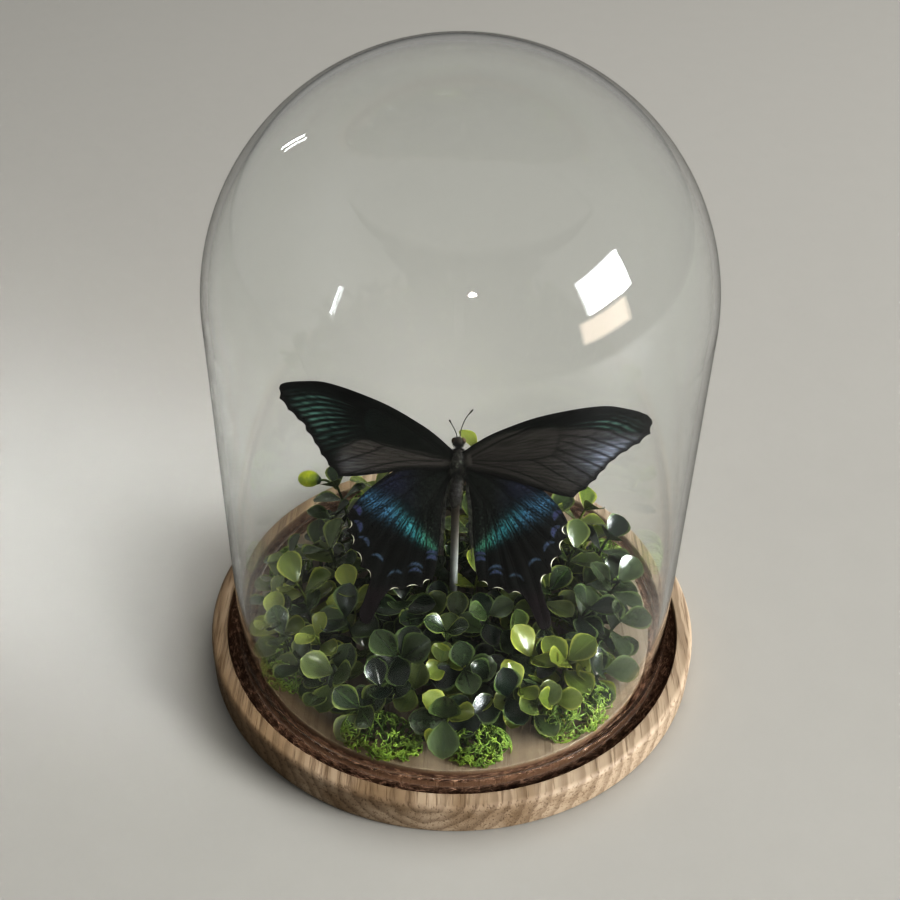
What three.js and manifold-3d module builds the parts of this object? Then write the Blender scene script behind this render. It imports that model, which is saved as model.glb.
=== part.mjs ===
// A dried swallowtail butterfly on a clear rod, over artificial boxwood and moss, on a turned wood base under
// a glass dome. Millimetres, +Z up; the origin is the middle of the underside of the base.
// The insect's own frame has +X to its right as it is seen from above, +Y to its head and +Z out of its back.

import * as THREE from 'three';
import { mergeVertices } from 'three/addons/utils/BufferGeometryUtils.js';
import Module from 'manifold-3d';

const wasm = await Module();
wasm.setup();

// ---- driving dimensions ----

const turnedSides = 32;
const base = {
  radius: 85, thickness: 12, lowerRound: 1, upperRound: 1.8,
  grooveOuter: 79.5, grooveInner: 70, grooveDepth: 3.5,
};
const dome = { radius: 75, height: 206.2, wall: 2.2, arcSteps: 5 };
const plateauZ = base.thickness;
const grooveZ = base.thickness - base.grooveDepth;
const rod = { radius: 1.4, x: 0.2, y: 2.5, top: 66.6, sides: 14 };

const fitGap = 0.3;
const insect = { thorax: [0.7, 5, 73], pitch: 52, roll: -5.5 };
const bodyDepth = -1.2;
const head = { y: 7.9, radius: 1.9 };
const eye = { x: 1.45, y: 8.2, radius: 1.05 };
const thorax = { y: 1.3, halfWidth: 3, halfLength: 4.9, halfHeight: 2.7 };
const abdomen = { y: -1.6, length: 12, radius: 2.6, turn: 6 };
const antenna = { radius: 0.2, clubRadius: 0.38, clubLength: 1.1, clubTurn: 28 };
const legRadius = 0.28;
const thinSides = 4;
const thinSteps = 5;
const wing = { thickness: 0.4, layerGap: 0.3, dihedral: 1.5, camber: 1.2, span: 64 };
const notch = { fore: 0.7, hind: 1.6, lobe: 1.2 };
const fanCentre = { fore: [8, 3], hind: [8, -8] };
const sweep = { left: 17.4, right: 9 };

const leafShape = {
  rows: [[0.36, 0.34], [0.72, 0.5], [0.99, 0.2]],
  middle: 0.6, widthRatio: 0.82, thickness: 0.55, cup: 0.16, curl: 0.12,
};
const stem = { radius: 0.6, sides: 3, steps: 2, holeSides: 6, pairSpacing: 5.5, tipLength: 1 };
const lowestPair = 0.25;
const pairTurns = [0, 90, 45];
const firstOpening = 48;
const openingStep = 20;
const leafShrink = 0.92;
const mossLump = 0.12;

const finish = {
  wood: { color: 0xb79a78, roughness: 0.7, metalness: 0 },
  glass: { color: 0xe8eeee, roughness: 0.03, metalness: 0, transparent: true, opacity: 0.22 },
  clearPlastic: { color: 0xc9ccc8, roughness: 0.35, metalness: 0 },
  insectBody: { color: 0x2a2622, roughness: 0.85, metalness: 0 },
  wingScales: { color: 0x10161a, roughness: 0.6, metalness: 0 },
  moss: { color: 0x5f9a28, roughness: 0.9, metalness: 0 },
};
const leafTones = { dark: 0x2c4433, green: 0x4d6b35, yellow: 0x8fa036 };

// One row for each sprig: where its top pair of leaves sits, how far it leans out from the upright,
// the turn of that pair, the number of pairs, the length of the top leaves and the tone.
const sprigs = [
  { top: [-18, -43, 34], lean: 48, spin: 43, pairs: 3, leaf: 13, tone: 'dark' },
  { top: [-2, -28, 31], lean: 12, spin: 5, pairs: 2, leaf: 10, tone: 'green' },
  { top: [12, -22, 33], lean: 20, spin: 10, pairs: 3, leaf: 10.5, tone: 'dark' },
  { top: [26, -35, 27], lean: 10, spin: 85, pairs: 2, leaf: 13, tone: 'yellow' },
  { top: [38, -36, 27], lean: 15, spin: 10, pairs: 2, leaf: 12.5, tone: 'yellow' },
  { top: [18, -51, 25], lean: 38, spin: 85, pairs: 2, leaf: 12.5, tone: 'dark' },
  { top: [4, -42, 28], lean: 38, spin: 80, pairs: 2, leaf: 11.5, tone: 'dark' },
  { top: [-2, -60, 24], lean: 60, spin: 90, pairs: 1, leaf: 13.5, tone: 'dark' },
  { top: [33, -50, 23], lean: 35, spin: 25, pairs: 1, leaf: 10, tone: 'yellow' },
  { top: [-38, -44, 27], lean: 30, spin: 165, pairs: 2, leaf: 12.5, tone: 'green' },
  { top: [-45, -31, 31], lean: 20, spin: 75, pairs: 2, leaf: 9, tone: 'yellow' },
  { top: [-56.5, -26.5, 26], lean: 20, spin: 15, pairs: 2, leaf: 11.5, tone: 'green' },
  { top: [-29, -55, 23], lean: 38, spin: 20, pairs: 2, leaf: 11.5, tone: 'green' },
  { top: [-36, -23, 31], lean: 20, spin: 55, pairs: 2, leaf: 13, tone: 'dark' },
  { top: [-54, -8, 32], lean: 25, spin: 0, pairs: 2, leaf: 13, tone: 'yellow' },
  { top: [-59, 9, 27], lean: 30, spin: 50, pairs: 2, leaf: 11, tone: 'green' },
  { top: [-44, 7, 34], lean: 20, spin: 30, pairs: 2, leaf: 13, tone: 'green' },
  { top: [-35, -12, 33], lean: 10, spin: 5, pairs: 1, leaf: 10.5, tone: 'yellow' },
  { top: [-43, 30, 44], lean: 25, spin: 150, pairs: 3, leaf: 11, tone: 'green' },
  { top: [-44, 21, 36], lean: 20, spin: 70, pairs: 2, leaf: 11, tone: 'dark' },
  { top: [48, 27, 38], lean: 30, spin: 20, pairs: 2, leaf: 11, tone: 'yellow' },
  { top: [36, 25, 37], lean: 20, spin: 70, pairs: 2, leaf: 12, tone: 'green' },
  { top: [56, 17, 33], lean: 30, spin: 45, pairs: 2, leaf: 12.5, tone: 'dark' },
  { top: [43, 9, 35], lean: 20, spin: 10, pairs: 3, leaf: 12.5, tone: 'green' },
  { top: [33, -10, 33], lean: 12, spin: 25, pairs: 2, leaf: 11.5, tone: 'green' },
  { top: [46, -17, 32], lean: 25, spin: 75, pairs: 3, leaf: 12, tone: 'dark' },
  { top: [58, -3, 31], lean: 28, spin: 30, pairs: 2, leaf: 12.5, tone: 'dark' },
  { top: [57, -19, 28], lean: 35, spin: 60, pairs: 2, leaf: 12, tone: 'dark' },
  { top: [50, -38, 24], lean: 38, spin: 40, pairs: 1, leaf: 12, tone: 'dark' },
  { top: [8, 49, 46], lean: 20, spin: 30, pairs: 2, leaf: 11, tone: 'yellow' },
  { top: [6, 17, 41], lean: 5, spin: 70, pairs: 2, leaf: 11.5, tone: 'green' },
  { top: [-16, 34, 38], lean: 20, spin: 10, pairs: 2, leaf: 12, tone: 'dark' },
  { top: [26, 42, 36], lean: 25, spin: 60, pairs: 1, leaf: 12, tone: 'green' },
  { top: [-17, -16, 33], lean: 10, spin: 45, pairs: 2, leaf: 11.5, tone: 'dark' },
  { top: [-62.5, -10, 26], lean: 20, spin: 60, pairs: 1, leaf: 10, tone: 'green' },
  { top: [-22, 12, 34], lean: 10, spin: 25, pairs: 2, leaf: 12, tone: 'dark' },
];

// One row for each clump of moss: its bearing from +X, its distance from the middle of the plateau,
// its half sizes along and across the rim, and its height.
const mossClumps = [
  { bearing: 249, distance: 62, half: [12, 7], height: 8 },
  { bearing: 278, distance: 62, half: [9, 6], height: 8 },
  { bearing: 311, distance: 61.5, half: [13, 7], height: 9 },
  { bearing: 208, distance: 62, half: [10, 7], height: 8 },
  { bearing: 163, distance: 63, half: [9, 6], height: 8 },
  { bearing: 22, distance: 63, half: [10, 6], height: 9 },
  { bearing: 119, distance: 62, half: [12, 7], height: 8 },
];

// ---- helpers ----

const radians = THREE.MathUtils.degToRad;
const model = new THREE.Group();

function mirrored(side) {
  return side === 'left' ? -1 : 1;
}

function geometryFrom(positions, indices) {
  const geometry = new THREE.BufferGeometry();
  geometry.setAttribute('position', new THREE.Float32BufferAttribute(positions, 3));
  geometry.setIndex(indices);
  return geometry;
}

function toSolid(geometry) {
  const bare = geometry.clone();
  bare.deleteAttribute('normal');
  bare.deleteAttribute('uv');
  const merged = mergeVertices(bare, 1e-4);
  const corners = Array.from(merged.index.array);
  const triangles = [];
  for (let k = 0; k < corners.length; k += 3) {
    const [a, b, c] = corners.slice(k, k + 3);
    if (a !== b && b !== c && c !== a) triangles.push(a, b, c);
  }
  return new wasm.Manifold(new wasm.Mesh({
    numProp: 3,
    vertProperties: new Float32Array(merged.attributes.position.array),
    triVerts: new Uint32Array(triangles),
  }));
}

function toGeometry(solid) {
  const mesh = solid.getMesh();
  return geometryFrom(Array.from(mesh.vertProperties), Array.from(mesh.triVerts));
}

function joined(geometries) {
  return geometries.map(toSolid).reduce((sum, solid) => sum.add(solid));
}

function largestBody(solid) {
  const bodies = solid.decompose();
  return bodies.reduce((best, body) => (body.volume() > best.volume() ? body : best));
}

function addMesh(parent, name, geometry, material) {
  const mesh = new THREE.Mesh(geometry, new THREE.MeshStandardMaterial(material));
  mesh.name = name;
  parent.add(mesh);
  return mesh;
}

// A profile of [radius, height] points turned about the Z axis.
function turned(profile, sides) {
  const points = profile.map(([radius, height]) => new THREE.Vector2(radius, height));
  return new THREE.LatheGeometry(points, sides).rotateX(Math.PI / 2);
}

// A round tube along a curve, closed at both ends.
function tube(curve, radius, sides, steps) {
  const section = new THREE.Shape();
  for (let k = 0; k < sides; k += 1) {
    const angle = (2 * Math.PI * k) / sides;
    const x = radius * Math.cos(angle);
    const y = radius * Math.sin(angle);
    if (k === 0) section.moveTo(x, y);
    else section.lineTo(x, y);
  }
  return new THREE.ExtrudeGeometry(section, { steps, extrudePath: curve, bevelEnabled: false });
}

function smoothCurve(points) {
  return new THREE.CatmullRomCurve3(points.map((point) => new THREE.Vector3(...point)));
}

function ellipsoid(halfSizes, centre, around, along) {
  return new THREE.SphereGeometry(1, around, along).scale(...halfSizes).translate(...centre);
}

// ---- wood base and glass dome ----

function buildBase() {
  const { radius, lowerRound, upperRound, grooveOuter, grooveInner } = base;
  const shoulder = upperRound * (1 - Math.SQRT1_2);
  const profile = [
    [0, 0],
    [radius - lowerRound, 0],
    [radius, lowerRound],
    [radius, plateauZ - upperRound],
    [radius - shoulder, plateauZ - shoulder],
    [radius - upperRound, plateauZ],
    [grooveOuter, plateauZ],
    [grooveOuter, grooveZ],
    [grooveInner, grooveZ],
    [grooveInner, plateauZ],
    [0, plateauZ],
  ];
  addMesh(model, 'wood_base', turned(profile, turnedSides), finish.wood);
}

// The straight wall runs up to the centre of the round top, which is a half sphere.
function buildDome() {
  const springZ = grooveZ + dome.height - dome.radius;
  const arc = (radius) => Array.from({ length: dome.arcSteps + 1 }, (_, k) => {
    const angle = (Math.PI / 2) * (k / dome.arcSteps);
    return [radius * Math.cos(angle), springZ + radius * Math.sin(angle)];
  });
  const outer = arc(dome.radius);
  const inner = arc(dome.radius - dome.wall).reverse();
  outer[outer.length - 1][0] = 0;
  inner[0][0] = 0;
  const lip = dome.wall / 3;
  const profile = [
    ...inner,
    [dome.radius - dome.wall, grooveZ + lip],
    [dome.radius - dome.wall + lip, grooveZ],
    [dome.radius - lip, grooveZ],
    [dome.radius, grooveZ + lip],
    ...outer,
  ];
  addMesh(model, 'glass_dome', turned(profile, turnedSides), finish.glass);
}

function rodGeometry(allowance) {
  const length = rod.top - plateauZ + allowance;
  return new THREE.CylinderGeometry(rod.radius + allowance, rod.radius + allowance, length, rod.sides)
    .rotateX(Math.PI / 2)
    .translate(rod.x, rod.y, plateauZ + length / 2);
}

// ---- insect ----

const insectGroup = new THREE.Group();
insectGroup.position.set(...insect.thorax);
insectGroup.rotation.set(radians(insect.pitch), radians(insect.roll), 0);
insectGroup.updateMatrixWorld(true);
model.add(insectGroup);

// Head, eyes, thorax and a tapering abdomen, all larger by the allowance.
function bodySolid(allowance) {
  const abdomenProfile = [[0, 0], [0.55, 0.02], [0.85, 0.2], [1, 0.5], [0.95, 0.8], [0, 1]];
  const belly = turned(
    abdomenProfile.map(([r, t]) => [r * (abdomen.radius + allowance), t * (abdomen.length + allowance)]),
    9,
  )
    .rotateX(-Math.PI / 2)
    .translate(0, -abdomen.length - allowance, 0)
    .rotateZ(radians(-abdomen.turn))
    .translate(0, abdomen.y, bodyDepth);
  const chest = [thorax.halfWidth, thorax.halfLength, thorax.halfHeight].map((half) => half + allowance);
  const skull = Array(3).fill(head.radius + allowance);
  const eyeball = Array(3).fill(eye.radius + allowance);
  return joined([
    belly,
    ellipsoid(chest, [0, thorax.y, bodyDepth], 9, 6),
    ellipsoid(skull, [0, head.y, bodyDepth], 7, 5),
    ellipsoid(eyeball, [-eye.x, eye.y, bodyDepth], 6, 4),
    ellipsoid(eyeball, [eye.x, eye.y, bodyDepth], 6, 4),
  ]);
}

function clearOfBody(geometry) {
  return toGeometry(largestBody(toSolid(geometry).subtract(bodySolid(fitGap))));
}

function buildBody() {
  const socket = rodGeometry(fitGap).applyMatrix4(insectGroup.matrixWorld.clone().invert());
  const body = bodySolid(0).subtract(toSolid(socket));
  addMesh(insectGroup, 'butterfly_body', toGeometry(body), finish.insectBody);
}

function buildAntenna(side, points) {
  const shaft = tube(smoothCurve(points), antenna.radius, thinSides, thinSteps);
  const [tipX, tipY, tipZ] = points[points.length - 1];
  const club = ellipsoid([antenna.clubRadius, antenna.clubLength, antenna.clubRadius], [0, 0, 0], 5, 4)
    .rotateZ(-mirrored(side) * radians(antenna.clubTurn))
    .translate(tipX, tipY, tipZ);
  addMesh(insectGroup, `antenna_${side}`, clearOfBody(toGeometry(joined([shaft, club]))), finish.insectBody);
}

// Hip, knee, ankle and toe of each pair of folded legs, for the right side.
const legJoints = {
  front: [[1.2, 4.2, -3], [4.4, 6.2, -5.4], [3.2, 3.4, -7.2], [3.9, 0.4, -7.6]],
  middle: [[1.2, 1.4, -3.2], [6, 1.9, -5.8], [4.6, -1.6, -7.8], [5.3, -5.4, -8.2]],
  hind: [[1.2, -1.4, -3.2], [6.4, -3.6, -5.2], [4.9, -7.4, -6.9], [5.8, -11.6, -7.1]],
};

function buildLegs() {
  for (const [pair, joints] of Object.entries(legJoints)) {
    for (const side of ['left', 'right']) {
      const path = smoothCurve(joints.map(([x, y, z]) => [mirrored(side) * x, y, z]));
      const geometry = clearOfBody(tube(path, legRadius, thinSides, thinSteps));
      addMesh(insectGroup, `leg_${pair}_${side}`, geometry, finish.insectBody);
    }
  }
}

// Between two vein ends the margin is drawn in by a shallow notch.
function scalloped(veinEnds, depth) {
  const points = [];
  for (let k = 0; k + 1 < veinEnds.length; k += 1) {
    const [ax, ay] = veinEnds[k];
    const [bx, by] = veinEnds[k + 1];
    const length = Math.hypot(bx - ax, by - ay);
    points.push([ax, ay]);
    const inward = [(depth * (by - ay)) / length, (depth * (ax - bx)) / length];
    points.push([(ax + bx) / 2 + inward[0], (ay + by) / 2 + inward[1]]);
  }
  points.push(veinEnds[veinEnds.length - 1]);
  return points;
}

function spline(points, count) {
  const curve = new THREE.SplineCurve(points.map(([x, y]) => new THREE.Vector2(x, y)));
  return curve.getSpacedPoints(count).map((point) => [point.x, point.y]);
}

// Outlines of the right wings, clockwise from the root, seen from above.
// The forewing lies along +X and turns about its hinge; the hindwing is in the insect's own frame.
const foreHinge = [3, 2];
const foreFront = [[-1.6, 2.6], [7.5, 6.5], [15, 8.6], [24, 10.4], [33, 11.2], [42, 11.4], [49, 10.8], [55, 8.9],
  [59.5, 6], [61.6, 3.2]];
const foreMargin = [[61.6, 3.2], [59.3, 1.2], [55.6, -1], [51.6, -3], [47.6, -5.3], [44.2, -8.2], [41.2, -11.4],
  [37.6, -14], [33.2, -16.2]];
const foreInner = [[28.4, -14.7], [21, -11.3], [11, -6.6], [-1, -2.2]];
const hindFront = [[1.4, 1.4], [9, 2.4], [17, 0.6], [24, -3.4], [29.8, -8], [33.6, -12], [35.9, -15.6]];
const hindMargin = [[36.5, -17], [36.6, -21.6], [34.9, -27.4], [31.6, -33.4], [28.4, -38.4]];
const hindTail = [[28.4, -38.8], [30.1, -44], [31.6, -48.2], [31.2, -51.2], [29, -52.3], [27.2, -50.4],
  [25.4, -45.8], [22.8, -42]];
const hindLobes = [[22.8, -42], [17.6, -40.8], [11, -39.8], [7.6, -37.2]];
const hindInner = [[6.3, -31], [5.4, -22], [4.9, -13], [3.4, -6], [1.4, -3]];

// A thin plate between two sheets that fan out from an inner point, arched across the span.
function fanPlate(outline, centre, lower, side) {
  const rings = [0.5, 1];
  const count = outline.length;
  const arch = (x) => wing.camber * Math.sin((Math.PI * x) / wing.span);
  const positions = [];
  for (const z of [lower, lower + wing.thickness]) {
    positions.push(mirrored(side) * centre[0], centre[1], z + arch(centre[0]));
    for (const ring of rings) {
      for (const [x, y] of outline) {
        const px = centre[0] + ring * (x - centre[0]);
        const py = centre[1] + ring * (y - centre[1]);
        positions.push(mirrored(side) * px, py, z + arch(px));
      }
    }
  }
  const sheet = 1 + rings.length * count;
  const indices = [];
  const face = (a, b, c) => (side === 'left' ? indices.push(a, c, b) : indices.push(a, b, c));
  for (let k = 0; k < count; k += 1) {
    const next = (k + 1) % count;
    const innerNow = 1 + k;
    const innerNext = 1 + next;
    const outerNow = innerNow + count;
    const outerNext = innerNext + count;
    face(0, innerNow, innerNext);
    face(innerNow, outerNow, outerNext);
    face(innerNow, outerNext, innerNext);
    face(sheet, sheet + innerNext, sheet + innerNow);
    face(sheet + innerNow, sheet + outerNext, sheet + outerNow);
    face(sheet + innerNow, sheet + innerNext, sheet + outerNext);
    face(outerNow, sheet + outerNow, sheet + outerNext);
    face(outerNow, sheet + outerNext, outerNext);
  }
  return geometryFrom(positions, indices);
}

function addWing(name, outline, centre, lower, side) {
  const plate = fanPlate(outline, centre, lower, side).rotateY(-mirrored(side) * radians(wing.dihedral));
  addMesh(insectGroup, name, clearOfBody(plate), finish.wingScales);
}

function buildForewing(side) {
  const turn = radians(sweep[side]);
  const flat = [...spline(foreFront, 10), ...scalloped(foreMargin, notch.fore).slice(1), ...foreInner];
  const outline = flat.map(([x, y]) => [
    foreHinge[0] + x * Math.cos(turn) - y * Math.sin(turn),
    foreHinge[1] + x * Math.sin(turn) + y * Math.cos(turn),
  ]);
  addWing(`forewing_${side}`, outline, fanCentre.fore, wing.layerGap / 2, side);
}

function buildHindwing(side) {
  const outline = [
    ...spline(hindFront, 8),
    ...scalloped(hindMargin, notch.hind),
    ...hindTail.slice(1, -1),
    ...scalloped(hindLobes, notch.lobe),
    ...hindInner,
  ];
  addWing(`hindwing_${side}`, outline, fanCentre.hind, -wing.layerGap / 2 - wing.thickness, side);
}

// ---- boxwood sprigs and moss ----

// A leaf lies along +Y with its upper face to +Z: a cupped, curling blade with a narrow foot and a round end.
// It is thickest in its middle, and the allowance makes it larger all round that point.
function leafGeometry(length, allowance) {
  const { rows, middle, widthRatio, thickness, cup, curl } = leafShape;
  const width = length * widthRatio;
  const rib = (along) => -curl * length * along * along;
  const edge = ([along, half]) => {
    const x = width * half;
    return [x, length * along, rib(along) + (4 * cup * x * x) / width];
  };
  const right = rows.map(edge);
  const left = right.map(([x, y, z]) => [-x, y, z]).reverse();
  const outline = [[0, 0, 0], ...right, ...left];
  const centreY = length * middle;
  const centreZ = rib(middle);
  const growth = 1 + (2 * allowance) / width;
  const grown = (value, centre) => centre + (value - centre) * growth;
  const rim = outline.map(([x, y, z]) => [grown(x, 0), grown(y, centreY), grown(z, centreZ)]);
  const depth = thickness / 2 + allowance;
  const positions = [...rim.flat(), 0, centreY, centreZ + depth, 0, centreY, centreZ - depth];
  const top = outline.length;
  const indices = [];
  for (let k = 0; k < top; k += 1) {
    const next = (k + 1) % top;
    indices.push(top, k, next, top + 1, next, k);
  }
  return geometryFrom(positions, indices);
}

// The stem rises upright from its foot and bends over to the lean of the top pair.
function sprigFrame({ top, lean }) {
  const crown = new THREE.Vector3(...top);
  const outward = new THREE.Vector3(top[0], top[1], 0).normalize();
  const axis = outward.clone().multiplyScalar(Math.sin(radians(lean)));
  axis.z = Math.cos(radians(lean));
  const reach = (crown.z - plateauZ) / 2;
  const bend = crown.clone().addScaledVector(axis, -reach);
  const foot = new THREE.Vector3(bend.x, bend.y, plateauZ);
  return { axis, outward, curve: new THREE.QuadraticBezierCurve3(foot, bend, crown) };
}

// With an allowance it is the room the sprig takes up, with a hole for its foot that goes through what lies there.
function sprigSolid(sprig, allowance) {
  const { axis, outward, curve } = sprigFrame(sprig);
  const across = new THREE.Vector3().crossVectors(axis, outward).normalize();
  const facing = new THREE.Vector3().crossVectors(across, axis);
  const parts = [tube(curve, stem.radius + allowance, stem.sides, stem.steps)];
  if (allowance > 0) {
    const holeRadius = stem.radius + 2 * allowance;
    const hole = new THREE.CylinderGeometry(holeRadius, holeRadius, 2 * allowance, stem.holeSides);
    const foot = curve.getPoint(0);
    parts.push(hole.rotateX(Math.PI / 2).translate(foot.x, foot.y, foot.z));
  }
  const length = curve.getLength();
  for (let pair = 0; pair < sprig.pairs; pair += 1) {
    const below = (stem.tipLength + pair * stem.pairSpacing) / length;
    const node = curve.getPointAt(Math.max(1 - below, lowestPair));
    const opening = radians(firstOpening + openingStep * pair);
    for (const half of [0, 180]) {
      const angle = radians(sprig.spin + pairTurns[pair] + half);
      const spread = across.clone().multiplyScalar(Math.cos(angle)).addScaledVector(facing, Math.sin(angle));
      const along = axis.clone().multiplyScalar(Math.cos(opening)).addScaledVector(spread, Math.sin(opening));
      const up = axis.clone().multiplyScalar(Math.sin(opening)).addScaledVector(spread, -Math.cos(opening));
      const sideways = new THREE.Vector3().crossVectors(along, up);
      const placing = new THREE.Matrix4().makeBasis(sideways, along, up).setPosition(node);
      const leafLength = sprig.leaf * (pair === 0 ? leafShrink : 1);
      parts.push(leafGeometry(leafLength, allowance).applyMatrix4(placing));
    }
  }
  return joined(parts);
}

// A low lumpy mound with a flat underside.
function mossGeometry({ bearing, distance, half, height }) {
  const ball = new THREE.IcosahedronGeometry(1, 1).deleteAttribute('normal').deleteAttribute('uv');
  const geometry = mergeVertices(ball);
  const position = geometry.attributes.position;
  for (let k = 0; k < position.count; k += 1) {
    const [x, y, z] = [position.getX(k), position.getY(k), position.getZ(k)];
    const lump = 1 + mossLump * Math.sin(5 * x + bearing) * Math.sin(6 * y + bearing);
    position.setXYZ(k, x * half[1] * lump, y * half[0] * lump, Math.max(z, 0) * height * lump);
  }
  return geometry.translate(distance, 0, plateauZ).rotateZ(radians(bearing));
}

// Each piece gives way to those placed before it, and what that cuts off is left out.
function buildGreenery() {
  const placed = [rodGeometry(fitGap)];
  const fitAmong = (geometry) => {
    geometry.computeBoundingBox();
    const near = placed.filter((other) => other.boundingBox.intersectsBox(geometry.boundingBox));
    const rest = near.reduce((solid, other) => solid.subtract(toSolid(other)), toSolid(geometry));
    return toGeometry(largestBody(rest));
  };
  placed[0].computeBoundingBox();
  sprigs.forEach((sprig, index) => {
    const name = `boxwood_sprig_${String(index + 1).padStart(2, '0')}`;
    const colour = { color: leafTones[sprig.tone], roughness: 0.35, metalness: 0 };
    addMesh(model, name, fitAmong(toGeometry(sprigSolid(sprig, 0))), colour);
    const room = toGeometry(sprigSolid(sprig, fitGap));
    room.computeBoundingBox();
    placed.push(room);
  });
  mossClumps.forEach((clump, index) => {
    addMesh(model, `moss_clump_${index + 1}`, fitAmong(mossGeometry(clump)), finish.moss);
  });
}

buildBase();
buildDome();
addMesh(model, 'support_rod', rodGeometry(0), finish.clearPlastic);
buildBody();
buildAntenna('left', [[-0.4, 9, -0.6], [-0.9, 11, 0.4], [-1.9, 13.2, 2], [-2.8, 15, 4]]);
buildAntenna('right', [[0.4, 9, -0.6], [0.9, 12, 0.3], [2.4, 15.6, 1.4], [4.8, 18.6, 2.2]]);
buildLegs();
for (const side of ['left', 'right']) {
  buildForewing(side);
  buildHindwing(side);
}
buildGreenery();

export default model;
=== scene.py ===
import math

import bpy
import numpy as np
from mathutils import Matrix, Vector


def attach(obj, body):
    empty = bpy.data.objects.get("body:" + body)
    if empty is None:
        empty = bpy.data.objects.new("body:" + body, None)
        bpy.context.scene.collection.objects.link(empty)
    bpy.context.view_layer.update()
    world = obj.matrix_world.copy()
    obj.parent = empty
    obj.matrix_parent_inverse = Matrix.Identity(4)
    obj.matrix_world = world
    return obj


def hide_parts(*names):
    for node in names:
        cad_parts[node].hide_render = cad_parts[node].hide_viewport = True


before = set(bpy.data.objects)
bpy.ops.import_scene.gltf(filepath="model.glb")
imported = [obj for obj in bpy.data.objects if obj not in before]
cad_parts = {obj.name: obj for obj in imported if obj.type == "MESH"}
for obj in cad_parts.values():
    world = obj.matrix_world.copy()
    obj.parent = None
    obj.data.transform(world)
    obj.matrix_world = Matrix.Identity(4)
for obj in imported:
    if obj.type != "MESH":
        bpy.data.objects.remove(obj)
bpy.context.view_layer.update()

mm = 0.001
tau = 2 * math.pi
chance = np.random.default_rng(11)
scene = bpy.context.scene


# Camera, floor and light

camera = {"place": (-0.00203, -0.3147, 0.3301), "elevation": 38.06, "roll": 1.17, "lens": 49.68}
floor = {
    "radius": 1.7, "low": -0.01, "high": -0.0001, "sides": 96, "roughness": 0.6,
    "color": (0.407, 0.393, 0.360), "lighter": 1.03, "patch": 60.0, "mirrored": 0.5,
}
room = {
    "color": (0.82, 0.86, 0.92), "strength": 0.17, "mirrored": 0.06, "backdrop": (0.33, 0.322, 0.307),
    "look": "Very High Contrast",
}
lampTarget = (0, 0, 0.08)
# direction from the target, distance, width, height, colour, power, and whether gloss and glass show the lamp
softBoxes = {
    "windowUpper": ((0.865, -0.345, 0.36), 3.6, 1.49, 0.86, (0.93, 0.96, 1.0), 122, True),
    "windowLower": ((0.885, -0.44, 0.15), 3.6, 1.49, 0.53, (1.0, 0.82, 0.66), 14, True),
    "ceilingFront": ((0.08, -0.82, 0.57), 1.9, 0.09, 0.05, (1.0, 0.98, 0.95), 3.0, True),
    "stripLeft": ((-0.77, -0.53, 0.34), 1.6, 0.03, 0.30, (0.90, 0.97, 1.0), 0.7, True),
    "stripBack": ((-0.69, 0.61, 0.40), 1.7, 0.03, 0.25, (0.95, 0.98, 1.0), 0.5, True),
    "overhead": ((0.28, 0.36, 1.0), 2.0, 2.0, 2.0, (1.0, 0.98, 0.96), 17, False),
}


def addCamera():
    data = bpy.data.cameras.new("camera")
    data.sensor_width = 36
    data.lens = camera["lens"]
    data.clip_start = 0.01
    eye = bpy.data.objects.new("camera", data)
    tilt = Matrix.Rotation(math.radians(90 - camera["elevation"]), 4, "X")
    roll = Matrix.Rotation(math.radians(camera["roll"]), 4, "Z")
    eye.matrix_world = Matrix.Translation(camera["place"]) @ tilt @ roll
    scene.collection.objects.link(eye)
    scene.camera = eye


def addSoftBoxes():
    for name, (direction, distance, width, height, color, power, shown) in softBoxes.items():
        data = bpy.data.lights.new(name, "AREA")
        data.shape = "RECTANGLE"
        data.size = width
        data.size_y = height
        data.color = color
        data.energy = power
        lamp = bpy.data.objects.new(name, data)
        lamp.visible_glossy = shown
        lamp.visible_transmission = shown
        outward = Vector(direction).normalized()
        lamp.location = Vector(lampTarget) + outward * distance
        lamp.rotation_euler = outward.to_track_quat("Z", "Y").to_euler()
        scene.collection.objects.link(lamp)


addCamera()
addSoftBoxes()
print("camera and lamps ready")


# Mesh helpers

# Stacks of rings, each closed by a point at both ends: quads between rings, triangles round the two points.
# Shapes: rings (solids, rows, sides, 3), ends (solids, 2, 3).
def ringSolids(rings, ends):
    solids, rows, sides, _ = rings.shape
    stride = rows * sides + 2
    row, side = np.meshgrid(np.arange(rows - 1), np.arange(sides), indexing="ij")
    after = (side + 1) % sides
    square = [row * sides + side, row * sides + after, (row + 1) * sides + after, (row + 1) * sides + side]
    quads = np.stack(square, -1)
    around = np.arange(sides)
    onward = (around + 1) % sides
    top = (rows - 1) * sides
    start = np.stack([np.full(sides, stride - 2), onward, around], -1)
    finish = np.stack([np.full(sides, stride - 1), top + around, top + onward], -1)
    shift = (np.arange(solids) * stride)[:, None, None]
    return {
        "points": np.concatenate([rings.reshape(solids, -1, 3), ends], 1).reshape(-1, 3),
        "quads": (quads.reshape(1, -1, 4) + shift).reshape(-1, 4),
        "tris": (np.concatenate([start, finish])[None] + shift).reshape(-1, 3),
    }


# One value for each ring point and end point, laid out as ringSolids lays out its points.
def ringValues(values, endValues):
    solids = values.shape[0]
    return np.concatenate([values.reshape(solids, -1), endValues], 1).ravel()


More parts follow.
